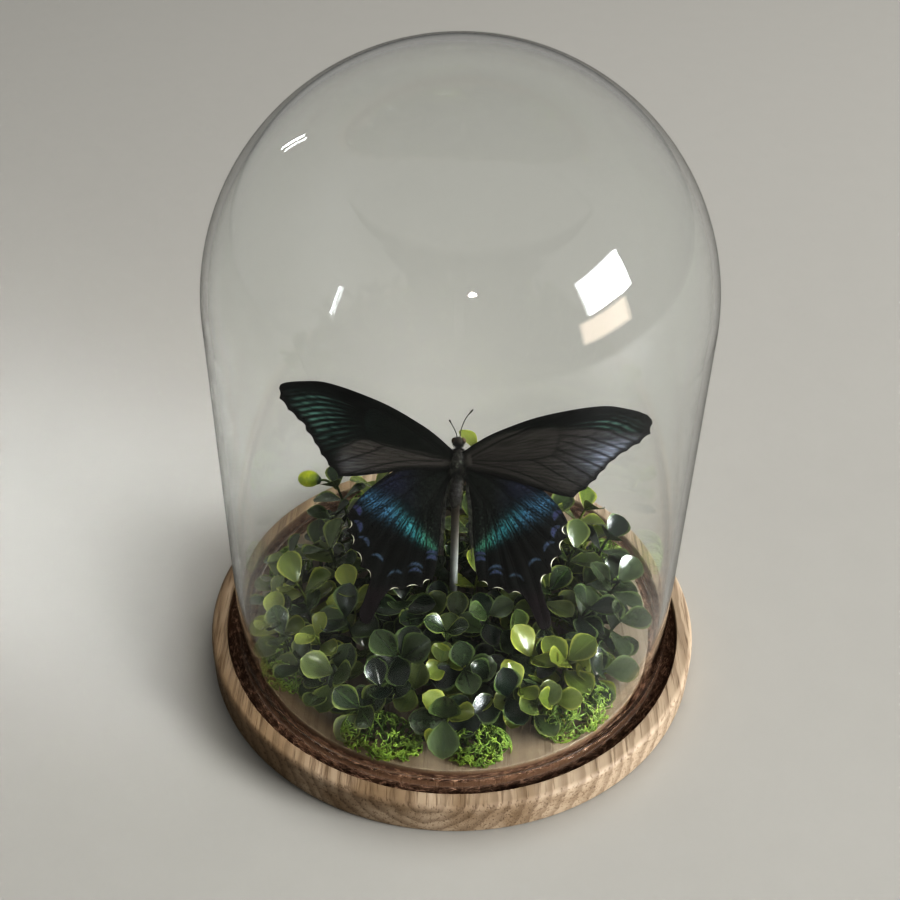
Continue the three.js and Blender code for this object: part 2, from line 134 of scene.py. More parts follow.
# A profile of (radius, height) turned about Z, from a point on the axis round the outside to another on it.
def turned(profile, sides):
    profile = np.asarray(profile, float)
    angle = np.arange(sides) * tau / sides
    inner = profile[1:-1]
    rings = np.stack([
        inner[:, :1] * np.cos(angle),
        inner[:, :1] * np.sin(angle),
        np.repeat(inner[:, 1:], sides, 1),
    ], -1)
    ends = np.array([[0, 0, profile[0, 1]], [0, 0, profile[-1, 1]]])
    return ringSolids(rings[None], ends[None])


# Round tubes along paths (tubes, steps, 3) with radii (tubes, steps). A ring is the path's point plus the
# radius times cosine and sine of the angle along two directions square to the path; a fixed vector keeps it
# from twisting.
def tubes(paths, radii, sides, across=(0.31, 0.17, 0.93)):
    paths = np.asarray(paths, float)
    heading = np.gradient(paths, axis=1)
    heading /= np.linalg.norm(heading, axis=-1, keepdims=True)
    first = np.cross(np.broadcast_to(across, paths.shape), heading)
    first /= np.linalg.norm(first, axis=-1, keepdims=True) + 1e-12
    second = np.cross(heading, first)
    angle = np.arange(sides) * tau / sides
    wide = radii[..., None, None]
    rings = paths[:, :, None] + wide * (
        np.cos(angle)[:, None] * first[:, :, None] + np.sin(angle)[:, None] * second[:, :, None]
    )
    ends = paths[:, [0, -1]] + heading[:, [0, -1]] * radii[:, [0, -1], None] * np.array([-0.5, 0.5])[:, None]
    return ringSolids(rings, ends)


# Uniform Catmull-Rom curve through the points: a cubic on each span, whose slope at a point is half the way
# from the point before it to the point after it.
def throughPoints(points, perSpan):
    knots = np.asarray(points, float)
    padded = np.vstack([2 * knots[0] - knots[1], knots, 2 * knots[-1] - knots[-2]])
    a, b, c, d = padded[:-3], padded[1:-2], padded[2:-1], padded[3:]
    t = (np.arange(perSpan) / perSpan)[:, None, None]
    curve = 0.5 * (2 * b + (c - a) * t + (2 * a - 5 * b + 4 * c - d) * t**2 + (3 * b - a - 3 * c + d) * t**3)
    return np.vstack([curve.transpose(1, 0, 2).reshape(-1, knots.shape[1]), knots[-1:]])


# A ball of rings: cosine of the rise times cosine and sine of the turn, and sine of the rise, each times its
# half size.
def ellipsoid(centre, halfSizes, sides=24, rows=15):
    rise = np.linspace(-1, 1, rows + 2)[1:-1] * math.pi / 2
    angle = np.arange(sides) * tau / sides
    rings = np.stack([
        np.cos(rise)[:, None] * np.cos(angle),
        np.cos(rise)[:, None] * np.sin(angle),
        np.repeat(np.sin(rise)[:, None], sides, 1),
    ], -1)
    ends = np.array([[0, 0, -1.0], [0, 0, 1.0]])
    solid = ringSolids(rings[None], ends[None])
    solid["points"] = solid["points"] * halfSizes + centre
    return solid


# Parts are joined into one mesh; each may have a material number and values for its points.
# An angle in degrees, sharp, splits the shading at edges steeper than it.
def makePiece(name, parts, materials, values=(), sharp=None):
    points, quads, tris, quadSlots, triSlots = [], [], [], [], []
    base = 0
    for part in parts:
        points.append(part["points"])
        quads.append(part["quads"] + base)
        tris.append(part["tris"] + base)
        quadSlots.append(np.full(len(part["quads"]), part.get("material", 0)))
        triSlots.append(np.full(len(part["tris"]), part.get("material", 0)))
        base += len(part["points"])
    quads, tris = np.concatenate(quads), np.concatenate(tris)
    corners = np.concatenate([quads.ravel(), tris.ravel()]).astype(np.int32)
    triStarts = quads.size + np.arange(len(tris)) * 3
    starts = np.concatenate([np.arange(len(quads)) * 4, triStarts]).astype(np.int32)
    mesh = bpy.data.meshes.new(name)
    mesh.vertices.add(base)
    mesh.vertices.foreach_set("co", np.concatenate(points).astype(np.float32).ravel())
    mesh.loops.add(len(corners))
    mesh.loops.foreach_set("vertex_index", corners)
    mesh.polygons.add(len(starts))
    mesh.polygons.foreach_set("loop_start", starts)
    mesh.polygons.foreach_set("material_index", np.concatenate(quadSlots + triSlots).astype(np.int32))
    mesh.polygons.foreach_set("use_smooth", np.ones(len(starts), bool))
    mesh.update(calc_edges=True)
    if sharp:
        mesh.set_sharp_from_angle(angle=math.radians(sharp))
    for key in values:
        filled = np.concatenate([part.get(key, np.zeros(len(part["points"]))) for part in parts])
        kind, field = ("FLOAT_VECTOR", "vector") if filled.ndim == 2 else ("FLOAT", "value")
        attribute = mesh.attributes.new(key, kind, "POINT")
        attribute.data.foreach_set(field, filled.astype(np.float32).ravel())
    for material in materials:
        mesh.materials.append(material)
    piece = bpy.data.objects.new(name, mesh)
    scene.collection.objects.link(piece)
    return piece


# Every piece rides on the one body and stands for the nodes given, which it hides.
def settle(piece, slot, *nodes):
    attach(piece, "root")
    if nodes:
        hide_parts(*nodes)
    return piece


# 0 below low, 1 above high, and three squares less two cubes of the share between.
def smoothStep(low, high, value):
    t = np.clip((value - low) / (high - low), 0, 1)
    return t * t * (3 - 2 * t)


def unit(vectors):
    return vectors / np.linalg.norm(vectors, axis=-1, keepdims=True)


# Shortest distance from each point to a set of points, in blocks of a few million pairs.
def nearestDistance(points, targets, pairsAtOnce=4_000_000):
    blocks = np.array_split(points, max(1, len(points) * len(targets) // pairsAtOnce))
    return np.concatenate([
        np.sqrt(((block[:, None] - targets[None]) ** 2).sum(-1).min(1)) for block in blocks
    ])


# Node helpers

# A small writer of node trees: add a node with values for its inputs, where a value may be a socket to link.
class Tree:
    def __init__(self, tree):
        self.tree = tree

    def add(self, kind, settings=None, **inputs):
        node = self.tree.nodes.new(kind)
        for key, value in (settings or {}).items():
            setattr(node, key, value)
        self.fill(node, inputs)
        return node

    def fill(self, node, values):
        for key, value in values.items():
            self.put(node.inputs[key], value)

    def put(self, socket, value):
        if isinstance(value, bpy.types.NodeSocket):
            self.tree.links.new(value, socket)
        elif isinstance(value, (tuple, list)) and len(value) == 3 and socket.type == "RGBA":
            socket.default_value = (*value, 1)
        else:
            socket.default_value = value

    def math(self, operation, *values):
        node = self.tree.nodes.new("ShaderNodeMath")
        node.operation = operation
        for socket, value in zip(node.inputs, values):
            self.put(socket, value)
        return node.outputs[0]

    def times(self, a, b):
        return self.math("MULTIPLY", a, b)

    def mix(self, factor, a, b, blend="MIX"):
        node = self.add("ShaderNodeMix", {"data_type": "RGBA", "blend_type": blend})
        for index, value in ((0, factor), (6, a), (7, b)):
            self.put(node.inputs[index], value)
        return node.outputs[2]

    def ramp(self, value, low, high, start=0.0, end=1.0):
        node = self.add("ShaderNodeMapRange", {"interpolation_type": "SMOOTHSTEP"}, Value=value)
        self.fill(node, {"From Min": low, "From Max": high, "To Min": start, "To Max": end})
        return node.outputs[0]

    # Three scales stretch the noise: the higher a scale, the finer it is that way.
    def noise(self, vector, scale, detail=3.0, roughness=0.55):
        if isinstance(scale, tuple):
            vector = self.stretched(vector, scale)
            scale = 1.0
        settings = {"Vector": vector, "Scale": scale, "Detail": detail, "Roughness": roughness}
        return self.add("ShaderNodeTexNoise", None, **settings).outputs[0]

    def stretched(self, vector, scale):
        node = self.add("ShaderNodeVectorMath", {"operation": "MULTIPLY"})
        self.put(node.inputs[0], vector)
        self.put(node.inputs[1], scale)
        return node.outputs[0]

    def apart(self, vector):
        return self.add("ShaderNodeSeparateXYZ", None, Vector=vector).outputs

    def length(self, a, b):
        return self.math("SQRT", self.math("ADD", self.times(a, a), self.times(b, b)))

    def place(self):
        return self.add("ShaderNodeTexCoord").outputs["Object"]

    def value(self, name):
        return self.add("ShaderNodeAttribute", {"attribute_name": name}).outputs["Fac"]

    def vector(self, name):
        return self.add("ShaderNodeAttribute", {"attribute_name": name}).outputs["Vector"]


def startMaterial(name):
    material = bpy.data.materials.new(name)
    material.use_nodes = True
    tree = Tree(material.node_tree)
    shader = material.node_tree.nodes["Principled BSDF"]
    return material, tree, shader


def startGroup(name, inputs, outputs):
    group = bpy.data.node_groups.new(name, "ShaderNodeTree")
    kinds = {"float": "NodeSocketFloat", "color": "NodeSocketColor", "vector": "NodeSocketVector"}
    for label, kind in inputs:
        group.interface.new_socket(label, in_out="INPUT", socket_type=kinds[kind])
    for label, kind in outputs:
        group.interface.new_socket(label, in_out="OUTPUT", socket_type=kinds[kind])
    tree = Tree(group)
    return group, tree, group.nodes.new("NodeGroupInput").outputs, group.nodes.new("NodeGroupOutput").inputs


def useGroup(tree, group, **inputs):
    return tree.add("ShaderNodeGroup", {"node_tree": group}, **inputs)


# Mottle: a soft change of tone over a few millimetres with a finer grain on top of it.
def makeMottleGroup():
    group, tree, given, out = startGroup(
        "mottle", [("vector", "vector"), ("patch", "float"), ("grain", "float")],
        [("tone", "float"), ("height", "float")],
    )
    broad = tree.noise(given["vector"], given["patch"], 3)
    fine = tree.noise(given["vector"], given["grain"], 4, 0.6)
    tree.put(out["tone"], tree.math("ADD", tree.times(broad, 0.65), tree.times(fine, 0.35)))
    tree.put(out["height"], fine)
    return group


mottle = makeMottleGroup()


def mottled(tree, patch, grain):
    return useGroup(tree, mottle, vector=tree.place(), patch=patch, grain=grain).outputs


def bumped(tree, shader, height, distance, strength=1.0):
    bump = tree.add("ShaderNodeBump", None, Strength=strength, Distance=distance, Height=height)
    tree.put(shader.inputs["Normal"], bump.outputs[0])


# The world is one dim colour for what it lights, a darker one in gloss, and the backdrop where it is seen.
def addRoomLight():
    world = bpy.data.worlds.new("room")
    world.use_nodes = True
    tree = Tree(world.node_tree)
    background = world.node_tree.nodes["Background"]
    path = tree.add("ShaderNodeLightPath").outputs
    seen = tree.math("MAXIMUM", path["Is Camera Ray"], path["Is Transmission Ray"])
    dim, mirrored = [tuple(c * room[key] for c in room["color"]) for key in ("strength", "mirrored")]
    unseen = tree.mix(path["Is Glossy Ray"], dim, mirrored)
    tree.put(background.inputs["Color"], tree.mix(seen, unseen, room["backdrop"]))
    scene.world = world
    scene.view_settings.view_transform = "Standard"
    scene.view_settings.look = room["look"]


# The floor shows dimmer in the glass than it is, so that the dark wings behind the glass stay dark.
def addFloor():
    material, tree, shader = startMaterial("paleFloor")
    lighter = tuple(part * floor["lighter"] for part in floor["color"])
    color = tree.mix(tree.noise(tree.place(), floor["patch"], 4), floor["color"], lighter)
    dimmer = tree.mix(1.0, color, (floor["mirrored"],) * 3, "MULTIPLY")
    path = tree.add("ShaderNodeLightPath").outputs
    reflected = tree.math("SUBTRACT", path["Is Glossy Ray"], path["Is Transmission Ray"])
    shown = tree.mix(tree.math("MAXIMUM", reflected, 0.0), color, dimmer)
    tree.fill(shader, {"Base Color": shown, "Roughness": floor["roughness"]})
    radius, low, high = floor["radius"], floor["low"], floor["high"]
    plate = turned([(0, low), (radius, low), (radius, high), (0, high)], floor["sides"])
    makePiece("floor", [plate], [material], sharp=40)


addRoomLight()
addFloor()
print("room light and floor ready")


# Wood base

base = {
    "radius": 85, "thickness": 12, "lowerRound": 1, "upperRound": 1.8, "grooveOuter": 79.5, "grooveInner": 70,
    "grooveDepth": 3.5, "lip": 0.35, "cove": 0.4, "sides": 288,
}
# where the pith lies (X and Z), ring spacing, and how far the waver, the pores and the figure are drawn out
wood = {
    "pith": (-7, 21), "spacing": 4.4, "waver": (42, 12, 42), "swing": 2.8, "pores": (1300, 45, 1300),
    "figure": (60, 14, 60), "lean": -2.6, "ringDepth": 0.36, "poreDepth": 0.5,
    "pale": (0.50, 0.405, 0.305), "heart": (0.215, 0.150, 0.088), "dark": (0.105, 0.066, 0.038),
    "groove": (0.115, 0.068, 0.042), "middle": (0.130, 0.108, 0.080),
# middle is the painted shade laid over the plateau inside the groove; groove is the groove's own brown stain
}
plateauZ = base["thickness"] * mm
grooveZ = (base["thickness"] - base["grooveDepth"]) * mm


# Growth rings: bands of the distance from the pith, which runs along Y, wavering as the trunk did.
# Between them lie fine pores drawn out along the grain.
def makeWoodGroup():
    group, tree, given, out = startGroup(
        "woodGrain", [("vector", "vector"), ("spacing", "float")],
        [("ring", "float"), ("pore", "float"), ("figure", "float")],
    )
    waver = tree.noise(given["vector"], wood["waver"], 4, 0.62)
    across = tree.apart(given["vector"])
    pithX, pithZ = [part * mm for part in wood["pith"]]
    distance = tree.length(tree.math("SUBTRACT", across[0], pithX), tree.math("SUBTRACT", across[2], pithZ))
    count = tree.math("DIVIDE", distance, given["spacing"])
    share = tree.math("FRACT", tree.math("ADD", count, tree.times(waver, wood["swing"])))
    late = tree.ramp(share, 0.25, 0.88)
    early = tree.ramp(share, 0.88, 1.0, 1.0, 0.0)
    tree.put(out["ring"], tree.times(late, early))
    pores = tree.noise(given["vector"], wood["pores"], 3, 0.6)
    tree.put(out["pore"], tree.ramp(pores, 0.5, 0.68))
    tree.put(out["figure"], tree.noise(given["vector"], wood["figure"], 3))
    return group


# Darker heartwood towards -X with rings and pores over it, painted shade darkening the plateau inside the
# groove, and a brown stain in the groove.
def woodMaterial():
    material, tree, shader = startMaterial("turnedWood")
    place = tree.place()
    grain = useGroup(tree, makeWoodGroup(), vector=place, spacing=wood["spacing"] * mm).outputs
    x, y, z = tree.apart(place)
    heart = tree.ramp(tree.math("ADD", grain["figure"], tree.times(x, wood["lean"])), 0.38, 0.72, 0.12, 0.85)
    ground = tree.mix(heart, wood["pale"], wood["heart"])
    ringed = tree.mix(tree.times(grain["ring"], wood["ringDepth"]), ground, wood["dark"])
    pored = tree.mix(tree.times(grain["pore"], wood["poreDepth"]), ringed, wood["dark"])
    across = tree.length(x, y)
    inner, outer, top = [base[key] * mm for key in ("grooveInner", "grooveOuter", "thickness")]
    # Painted shade: inside the groove's inner radius the wood is darkened towards the middle colour, as if in
    # the shade of the foliage and the dome.
    withPlateauShade = tree.mix(tree.ramp(across, inner, inner + 0.5 * mm, 0.8, 0), pored, wood["middle"])
    pastInner = tree.ramp(across, inner - 0.3 * mm, inner + 0.1 * mm)
    beforeOuter = tree.ramp(across, outer - 0.1 * mm, outer + 0.3 * mm, 1, 0)
    below = tree.ramp(z, top - 1.6 * mm, top - 0.1 * mm, 1, 0)
    inGroove = tree.times(tree.times(pastInner, beforeOuter), below)
    tree.fill(shader, {
        "Base Color": tree.mix(inGroove, withPlateauShade, wood["groove"]),
        "Roughness": tree.ramp(grain["pore"], 0, 1, 0.52, 0.75),
        "Specular IOR Level": 0.35,
    })
    height = tree.math("ADD", tree.times(grain["pore"], -0.6), tree.times(grain["ring"], 0.25))
    bumped(tree, shader, height, 0.0002, 0.6)
    return material


# An arc of a profile: its centre plus the radius times cosine and sine of an angle between two, in degrees.
def roundedCorner(centre, radius, start, end, steps=6):
    angle = np.radians(np.linspace(start, end, steps))
    return np.stack([centre[0] + radius * np.cos(angle), centre[1] + radius * np.sin(angle)], -1)


# The disc turned from its profile: underside, two rounded edges, the groove with its eased lips, the plateau.
def buildBase():
    radius, top, low, high = base["radius"], base["thickness"], base["lowerRound"], base["upperRound"]
    inner, outer, lip, cove = base["grooveInner"], base["grooveOuter"], base["lip"], base["cove"]
    deep = top - base["grooveDepth"]
    profile = np.vstack([
        [[0, 0], [30, 0], [60, 0]],
        roundedCorner((radius - low, low), low, -90, 0),
        [[radius, 4], [radius, 7.5]],
        roundedCorner((radius - high, top - high), high, 0, 90, 9),
        [[outer + 2, top]],
        roundedCorner((outer + lip, top - lip), lip, 90, 180),
        [[outer, deep + cove], [outer - cove, deep]],
        [[75, deep], [inner + cove, deep], [inner, deep + cove]],
        roundedCorner((inner - lip, top - lip), lip, 0, 90),
        [[60, top], [45, top], [30, top], [15, top], [0, top]],
    ]) * mm
    piece = makePiece("turnedBase", [turned(profile, base["sides"])], [woodMaterial()], sharp=50)
    settle(piece, "wood", "wood_base")


# The torn fibres that line the groove: short curved slivers lying along it, some of them standing up.
lining = {
    "count": 3800, "steps": 4, "length": (1.2, 6), "radius": (0.07, 0.2), "taper": (0.4, 1, 1, 0.4),
    "clear": 0.5, "glassBand": (71.9, 75.6), "outerShare": 0.55, "scatter": 0.35, "bed": 0.15, "pile": 0.9,
    "lift": 1.3, "color": (0.080, 0.042, 0.026), "worn": (0.30, 0.195, 0.135),
}


def liningMaterial():
    material, tree, shader = startMaterial("tornFibres")
    tone = tree.ramp(tree.noise(tree.place(), 420.0, 3), 0.38, 0.62)
    tree.fill(shader, {"Base Color": tree.mix(tone, lining["color"], lining["worn"]), "Roughness": 0.8})
    bumped(tree, shader, tree.noise(tree.place(), 3000.0, 2), 0.0001)
    return material


# A sliver is an arc of the groove: its bearing is where it starts plus the way along it over its radius.
# Radius and height scatter at every step, and none lies where the glass stands.
def buildLining():
    count, steps = lining["count"], lining["steps"]
    start = chance.uniform(0, tau, count)
    inner, outer = base["grooveInner"] + lining["clear"], base["grooveOuter"] - lining["clear"]
    glassInner, glassOuter = lining["glassBand"]
    outside = chance.random(count) < lining["outerShare"]
    outerOnes, innerOnes = chance.uniform(glassOuter, outer, count), chance.uniform(inner, glassInner, count)
    edges = np.where(outside, outerOnes, innerOnes)
    length = chance.uniform(*lining["length"], count)
    along = np.linspace(-0.5, 0.5, steps)[None] * length[:, None]
    bearing = start[:, None] + along / edges[:, None]
    radius = np.clip(edges[:, None] + chance.normal(0, lining["scatter"], (count, steps)), inner, outer)
    bed = grooveZ / mm + lining["bed"] + chance.random((count, 1)) * lining["pile"]
    rise = bed + np.abs(chance.normal(0, lining["lift"] / 3, (count, steps)))
    paths = np.stack([radius * np.cos(bearing), radius * np.sin(bearing), rise], -1) * mm
    thick = chance.uniform(*lining["radius"], count)[:, None] * np.array(lining["taper"]) * mm
    piece = makePiece("grooveFibres", [tubes(paths, thick, 4)], [liningMaterial()])
    settle(piece, "wood")


buildBase()
buildLining()
print("base and groove fibres ready")


# Glass dome

dome = {
    "radius": 75, "height": 206.2, "wall": 2.2, "bead": 0.6, "sides": 192, "arcSteps": 40, "wallSteps": 12,
    "tint": (0.985, 0.995, 0.99), "shadow": (0.975, 0.98, 0.98), "index": 1.34, "wiped": 0.012,
}


# Clear glass, its polish a little uneven, that lets lamps through to what stands inside it.
def glassMaterial():
    material, tree, shader = startMaterial("clearGlass")
    tree.fill(shader, {
        "Base Color": dome["tint"], "Metallic": 0, "IOR": dome["index"], "Transmission Weight": 1,
        "Roughness": tree.ramp(mottled(tree, 35.0, 900.0)["tone"], 0.45, 0.62, 0.0, dome["wiped"]),
    })
    clear = tree.add("ShaderNodeBsdfTransparent", None, Color=dome["shadow"])
    mixer = tree.add("ShaderNodeMixShader")
    shadow = tree.add("ShaderNodeLightPath").outputs["Is Shadow Ray"]
    for socket, value in zip(mixer.inputs, (shadow, shader.outputs[0], clear.outputs[0])):
        tree.put(socket, value)
    tree.put(material.node_tree.nodes["Material Output"].inputs["Surface"], mixer.outputs[0])
    return material


# The bell turned from its profile: inner arc and wall, a round bead at the foot, outer wall and arc.
def buildDome():
    foot = grooveZ / mm
    springZ = foot + dome["height"] - dome["radius"]
    half = dome["wall"] / 2
    bulb = half + dome["bead"]
    innerArc = roundedCorner((0, springZ), dome["radius"] - dome["wall"], 90, 0, dome["arcSteps"])
    outerArc = roundedCorner((0, springZ), dome["radius"], 0, 90, dome["arcSteps"])
    heights = np.append(np.linspace(springZ, foot + 8, dome["wallSteps"]), [foot + 6, foot + 4.5, foot + 3.2])
    inner = np.stack([np.full(len(heights), dome["radius"] - dome["wall"]), heights], -1)
    outer = np.stack([np.full(len(heights), float(dome["radius"])), heights[::-1]], -1)
    rim = roundedCorner((dome["radius"] - half, foot + bulb), bulb, 160, 380, 14)
    profile = np.vstack([innerArc, inner[1:-1], rim, outer[1:-1], outerArc]) * mm
    profile[0, 0] = profile[-1, 0] = 0
    piece = makePiece("glassDome", [turned(profile, dome["sides"])], [glassMaterial()])
    settle(piece, "glass", "glass_dome")


buildDome()


# Support rod

rod = {
    "radius": 1.4, "x": 0.2, "y": 2.5, "top": 66.6, "edge": 0.4, "sides": 32, "index": 1.49, "clear": 0.25,
    "frost": (0.27, 0.275, 0.26), "glue": (0.14, 0.118, 0.096), "glueFrom": (0.030, 0.062),
    "brushed": (900, 900, 60),
}


# Frosted plastic that turns browner upwards, with fine marks drawn out along it.
def rodMaterial():
    material, tree, shader = startMaterial("frostedPlastic")
    up = tree.ramp(tree.apart(tree.place())[2], *rod["glueFrom"])
    wear = tree.noise(tree.place(), rod["brushed"], 3)
    tree.fill(shader, {
        "Base Color": tree.mix(up, rod["frost"], rod["glue"]),
        "Roughness": tree.ramp(wear, 0.3, 0.7, 0.36, 0.52),
        "Transmission Weight": rod["clear"], "IOR": rod["index"],
    })
    bumped(tree, shader, wear, 0.00008)
    return material


# A straight turned rod with a rounded top edge, set on its place on the plateau.
def buildRod():
    radius, top, edge = rod["radius"], rod["top"], rod["edge"]
    profile = np.vstack([
        [[0, plateauZ / mm], [radius, plateauZ / mm], [radius, 25], [radius, 45]],
        roundedCorner((radius - edge, top - edge), edge, 0, 90, 5),
        [[0, top]],
    ]) * mm
    solid = turned(profile, rod["sides"])
    solid["points"] = solid["points"] + np.array([rod["x"], rod["y"], 0]) * mm
    settle(makePiece("frostedRod", [solid], [rodMaterial()], sharp=50), "clear_plastic", "support_rod")


buildRod()
print("dome and rod ready")


# Butterfly

# Its own frame, in millimetres: +X to its right as it is seen from above, +Y to its head, +Z out of its back.
insect = {"thorax": (0.7, 5, 73), "pitch": 52, "roll": -5.5, "depth": -1.2}
insectTurn = np.array(Matrix.Rotation(math.radians(insect["pitch"]), 3, "X")
                      @ Matrix.Rotation(math.radians(insect["roll"]), 3, "Y"))


# From the insect's frame to the part's, in metres.
def fromInsect(points):
    return (points @ insectTurn.T + np.array(insect["thorax"])) * mm


body = {
    "headY": 7.9, "headHalf": (1.75, 1.6, 1.7), "eyeX": 1.45, "eyeY": 8.2, "eyeHalf": (1, 1, 1),
    "thoraxY": 1.3, "thoraxHalf": (2.85, 4.8, 2.6), "abdomenY": -1.6, "abdomenLength": 12,
    "abdomenRadius": 2.5, "abdomenTurn": 6, "rings": 8, "waist": 0.05,
    # the abdomen's width: share of its length from the thorax, share of its radius
    "widths": [(0, 0.3), (0.03, 0.62), (0.2, 0.86), (0.5, 1), (0.8, 0.9), (0.93, 0.55), (1, 0.12)],
    "skin": [(0.004, 0.0037, 0.0033), (0.021, 0.0175, 0.0145)], "stripe": (0.105, 0.088, 0.064),
    "dust": (0.115, 0.130, 0.100), "eye": [(0.03, 0.018, 0.012), (0.10, 0.065, 0.04)],
}


def bodyMaterial():
    material, tree, shader = startMaterial("insectSkin")
    tone = mottled(tree, 420.0, 2600.0)
    skin = tree.mix(tree.ramp(tone["tone"], 0.35, 0.65), *body["skin"])
    striped = tree.mix(tree.times(tree.value("stripe"), 0.7), skin, body["stripe"])
    specks = tree.ramp(tree.noise(tree.place(), 800.0, 2), 0.5, 0.56)
    dusted = tree.mix(tree.times(tree.value("dust"), specks), striped, body["dust"])
    tree.fill(shader, {"Base Color": dusted, "Roughness": 0.75})
    bumped(tree, shader, tone["height"], 0.00015, 0.8)
    return material


def eyeMaterial():
    material, tree, shader = startMaterial("insectEye")
    tone = tree.noise(tree.place(), 900.0, 2)
    tree.fill(shader, {"Base Color": tree.mix(tone, *body["eye"]), "Roughness": 0.25})
    facets = tree.add("ShaderNodeTexVoronoi", None, Vector=tree.place(), Scale=9000.0).outputs[0]
    bumped(tree, shader, facets, 0.00002)
    return material


# Rings of the tapering width, drawn in where a sine of eight half turns peaks, and turned a little about Z.
def abdomenSolid(sides=32, rows=44):
    t = np.linspace(0, 1, rows + 2)[1:-1]
    profile = body["abdomenRadius"] * np.interp(t, *np.transpose(body["widths"]))
    profile = profile * (1 - body["waist"] * np.abs(np.sin(t * body["rings"] * math.pi)) ** 6)
    angle = np.arange(sides) * tau / sides
    rings = np.stack([
        profile[:, None] * np.cos(angle),
        np.repeat(-t[:, None] * body["abdomenLength"], sides, 1),
        profile[:, None] * np.sin(angle),
    ], -1)
    ends = np.array([[0, 0, 0], [0, -body["abdomenLength"], 0.0]])
    solid = ringSolids(rings[None], ends[None])
    stripe = smoothStep(0.25, 0.05, np.abs(np.sin(angle) - 0.35)) * (np.abs(np.cos(angle)) > 0.3)
    solid["stripe"] = ringValues(np.broadcast_to(stripe, (1, rows, sides)), np.zeros((1, 2)))
    turn = math.radians(-body["abdomenTurn"])
    spin = np.array([[math.cos(turn), math.sin(turn), 0], [-math.sin(turn), math.cos(turn), 0], [0, 0, 1]])
    solid["points"] = solid["points"] @ spin + np.array([0, body["abdomenY"], insect["depth"]])
    return solid


# Thorax, head and eyes are balls of three half sizes. The dust on the thorax is a bell curve of X and Y.
def buildBody():
    depth = insect["depth"]
    chest = ellipsoid((0, body["thoraxY"], depth), body["thoraxHalf"], 40, 25)
    x, y, _ = chest["points"].T
    chest["dust"] = np.exp(-((x / 1.6) ** 2) - ((y - 1.0) / 2.4) ** 2)
    skull = ellipsoid((0, body["headY"], depth), body["headHalf"], 32, 19)
    skull["stripe"] = np.full(len(skull["points"]), 0.35)
    parts = [chest, skull, abdomenSolid()]
    for side in (-1, 1):
        ball = ellipsoid((side * body["eyeX"], body["eyeY"], depth), body["eyeHalf"], 32, 19)
        ball["material"] = 1
        parts.append(ball)
    for part in parts:
        part["points"] = fromInsect(part["points"])
    piece = makePiece("driedBody", parts, [bodyMaterial(), eyeMaterial()], ("stripe", "dust"))
    settle(piece, "insect_body", "butterfly_body")


# Short hairs lie back over thorax, head and the sides of the abdomen; long ones along the hindwings' folds.
fur = {
    "count": 5200, "length": (0.6, 2.1), "radius": 0.05, "taper": (1.0, 0.75, 0.3), "headBelow": 0.16,
    "bellyAbove": 0.72, "lift": 0.55, "back": 0.75, "stray": 0.22, "droop": 0.18, "flatter": 0.8,
    "raised": 0.05, "headHalf": (1.7, 1.5, 1.65), "chestSink": 0.98, "bellySink": 0.93, "bellyStart": 0.05,
    "bellySpan": 0.85, "bellyBack": -0.6, "bellyShare": 0.45, "headShare": 0.6,
    "tone": (0.42, 0.62), "dark": (0.005, 0.0047, 0.0042), "light": (0.050, 0.049, 0.038),
}
foldFur = {
    "count": 130, "steps": 7, "radius": 0.06, "front": -3, "run": 19, "length": (4, 10),
    "scatter": (-0.7, 0.5), "bend": (-0.09, 0.03), "splay": 0.06, "low": -0.1, "arch": 0.35, "droop": 0.3,
    "beside": [(0, 3.0), (0.3, 4.2), (1, 5.0)],  # share of the run, distance from the body's middle
}


def furMaterial():
    material, tree, shader = startMaterial("insectHair")
    tone = tree.ramp(tree.noise(tree.place(), 700.0, 3), *fur["tone"])
    tree.fill(shader, {"Base Color": tree.mix(tone, fur["dark"], fur["light"]), "Roughness": 0.6})
    return material


# A hair's root lies on the ball or the abdomen's tube, in a random direction. It heads outward and back with
# a little stray, and droops with the square of the way along it.
def buildFur():
    count = fur["count"]
    where = chance.random(count)
    onHead = where < fur["headBelow"]
    onBelly = where > fur["bellyAbove"]
    direction = unit(chance.normal(0, 1, (count, 3)))
    direction[:, 2] = np.abs(direction[:, 2]) * fur["flatter"] + fur["raised"]
    headPlace, chestPlace = [(0, body[key], insect["depth"]) for key in ("headY", "thoraxY")]
    centre = np.where(onHead[:, None], headPlace, chestPlace)
    half = np.where(onHead[:, None], fur["headHalf"], np.array(body["thoraxHalf"]) * fur["chestSink"])
    t = chance.random(count) * fur["bellySpan"] + fur["bellyStart"]
    turn = chance.uniform(0, tau, count)
    width = body["abdomenRadius"] * fur["bellySink"]
    lean = math.radians(body["abdomenTurn"])
    bellyRoot = np.stack([
        width * np.cos(turn) - np.sin(lean) * t * body["abdomenLength"],
        body["abdomenY"] - t * body["abdomenLength"],
        insect["depth"] + width * np.sin(turn),
    ], -1)
    root = np.where(onBelly[:, None], bellyRoot, centre + direction * half)
    bellyOutward = np.stack([np.cos(turn), np.full(count, fur["bellyBack"]), np.sin(turn)], -1)
    outward = np.where(onBelly[:, None], bellyOutward, direction / half)
    stray = chance.normal(0, fur["stray"], (count, 3))
    heading = unit(unit(outward) * fur["lift"] + np.array([0, -fur["back"], 0]) + stray)
    length = chance.uniform(*fur["length"], count) * np.where(onBelly, fur["bellyShare"], 1)
    length = length * np.where(onHead, fur["headShare"], 1)
    steps = np.linspace(0, 1, len(fur["taper"]))
    paths = root[:, None] + heading[:, None] * (length[:, None] * steps)[..., None]
    paths[:, :, 2] -= (steps**2)[None] * length[:, None] * fur["droop"]
    radii = fur["radius"] * np.broadcast_to(fur["taper"], paths.shape[:2]) * mm
    piece = makePiece("bodyHair", [tubes(fromInsect(paths), radii, 3)], [furMaterial()])
    settle(piece, "insect_body")


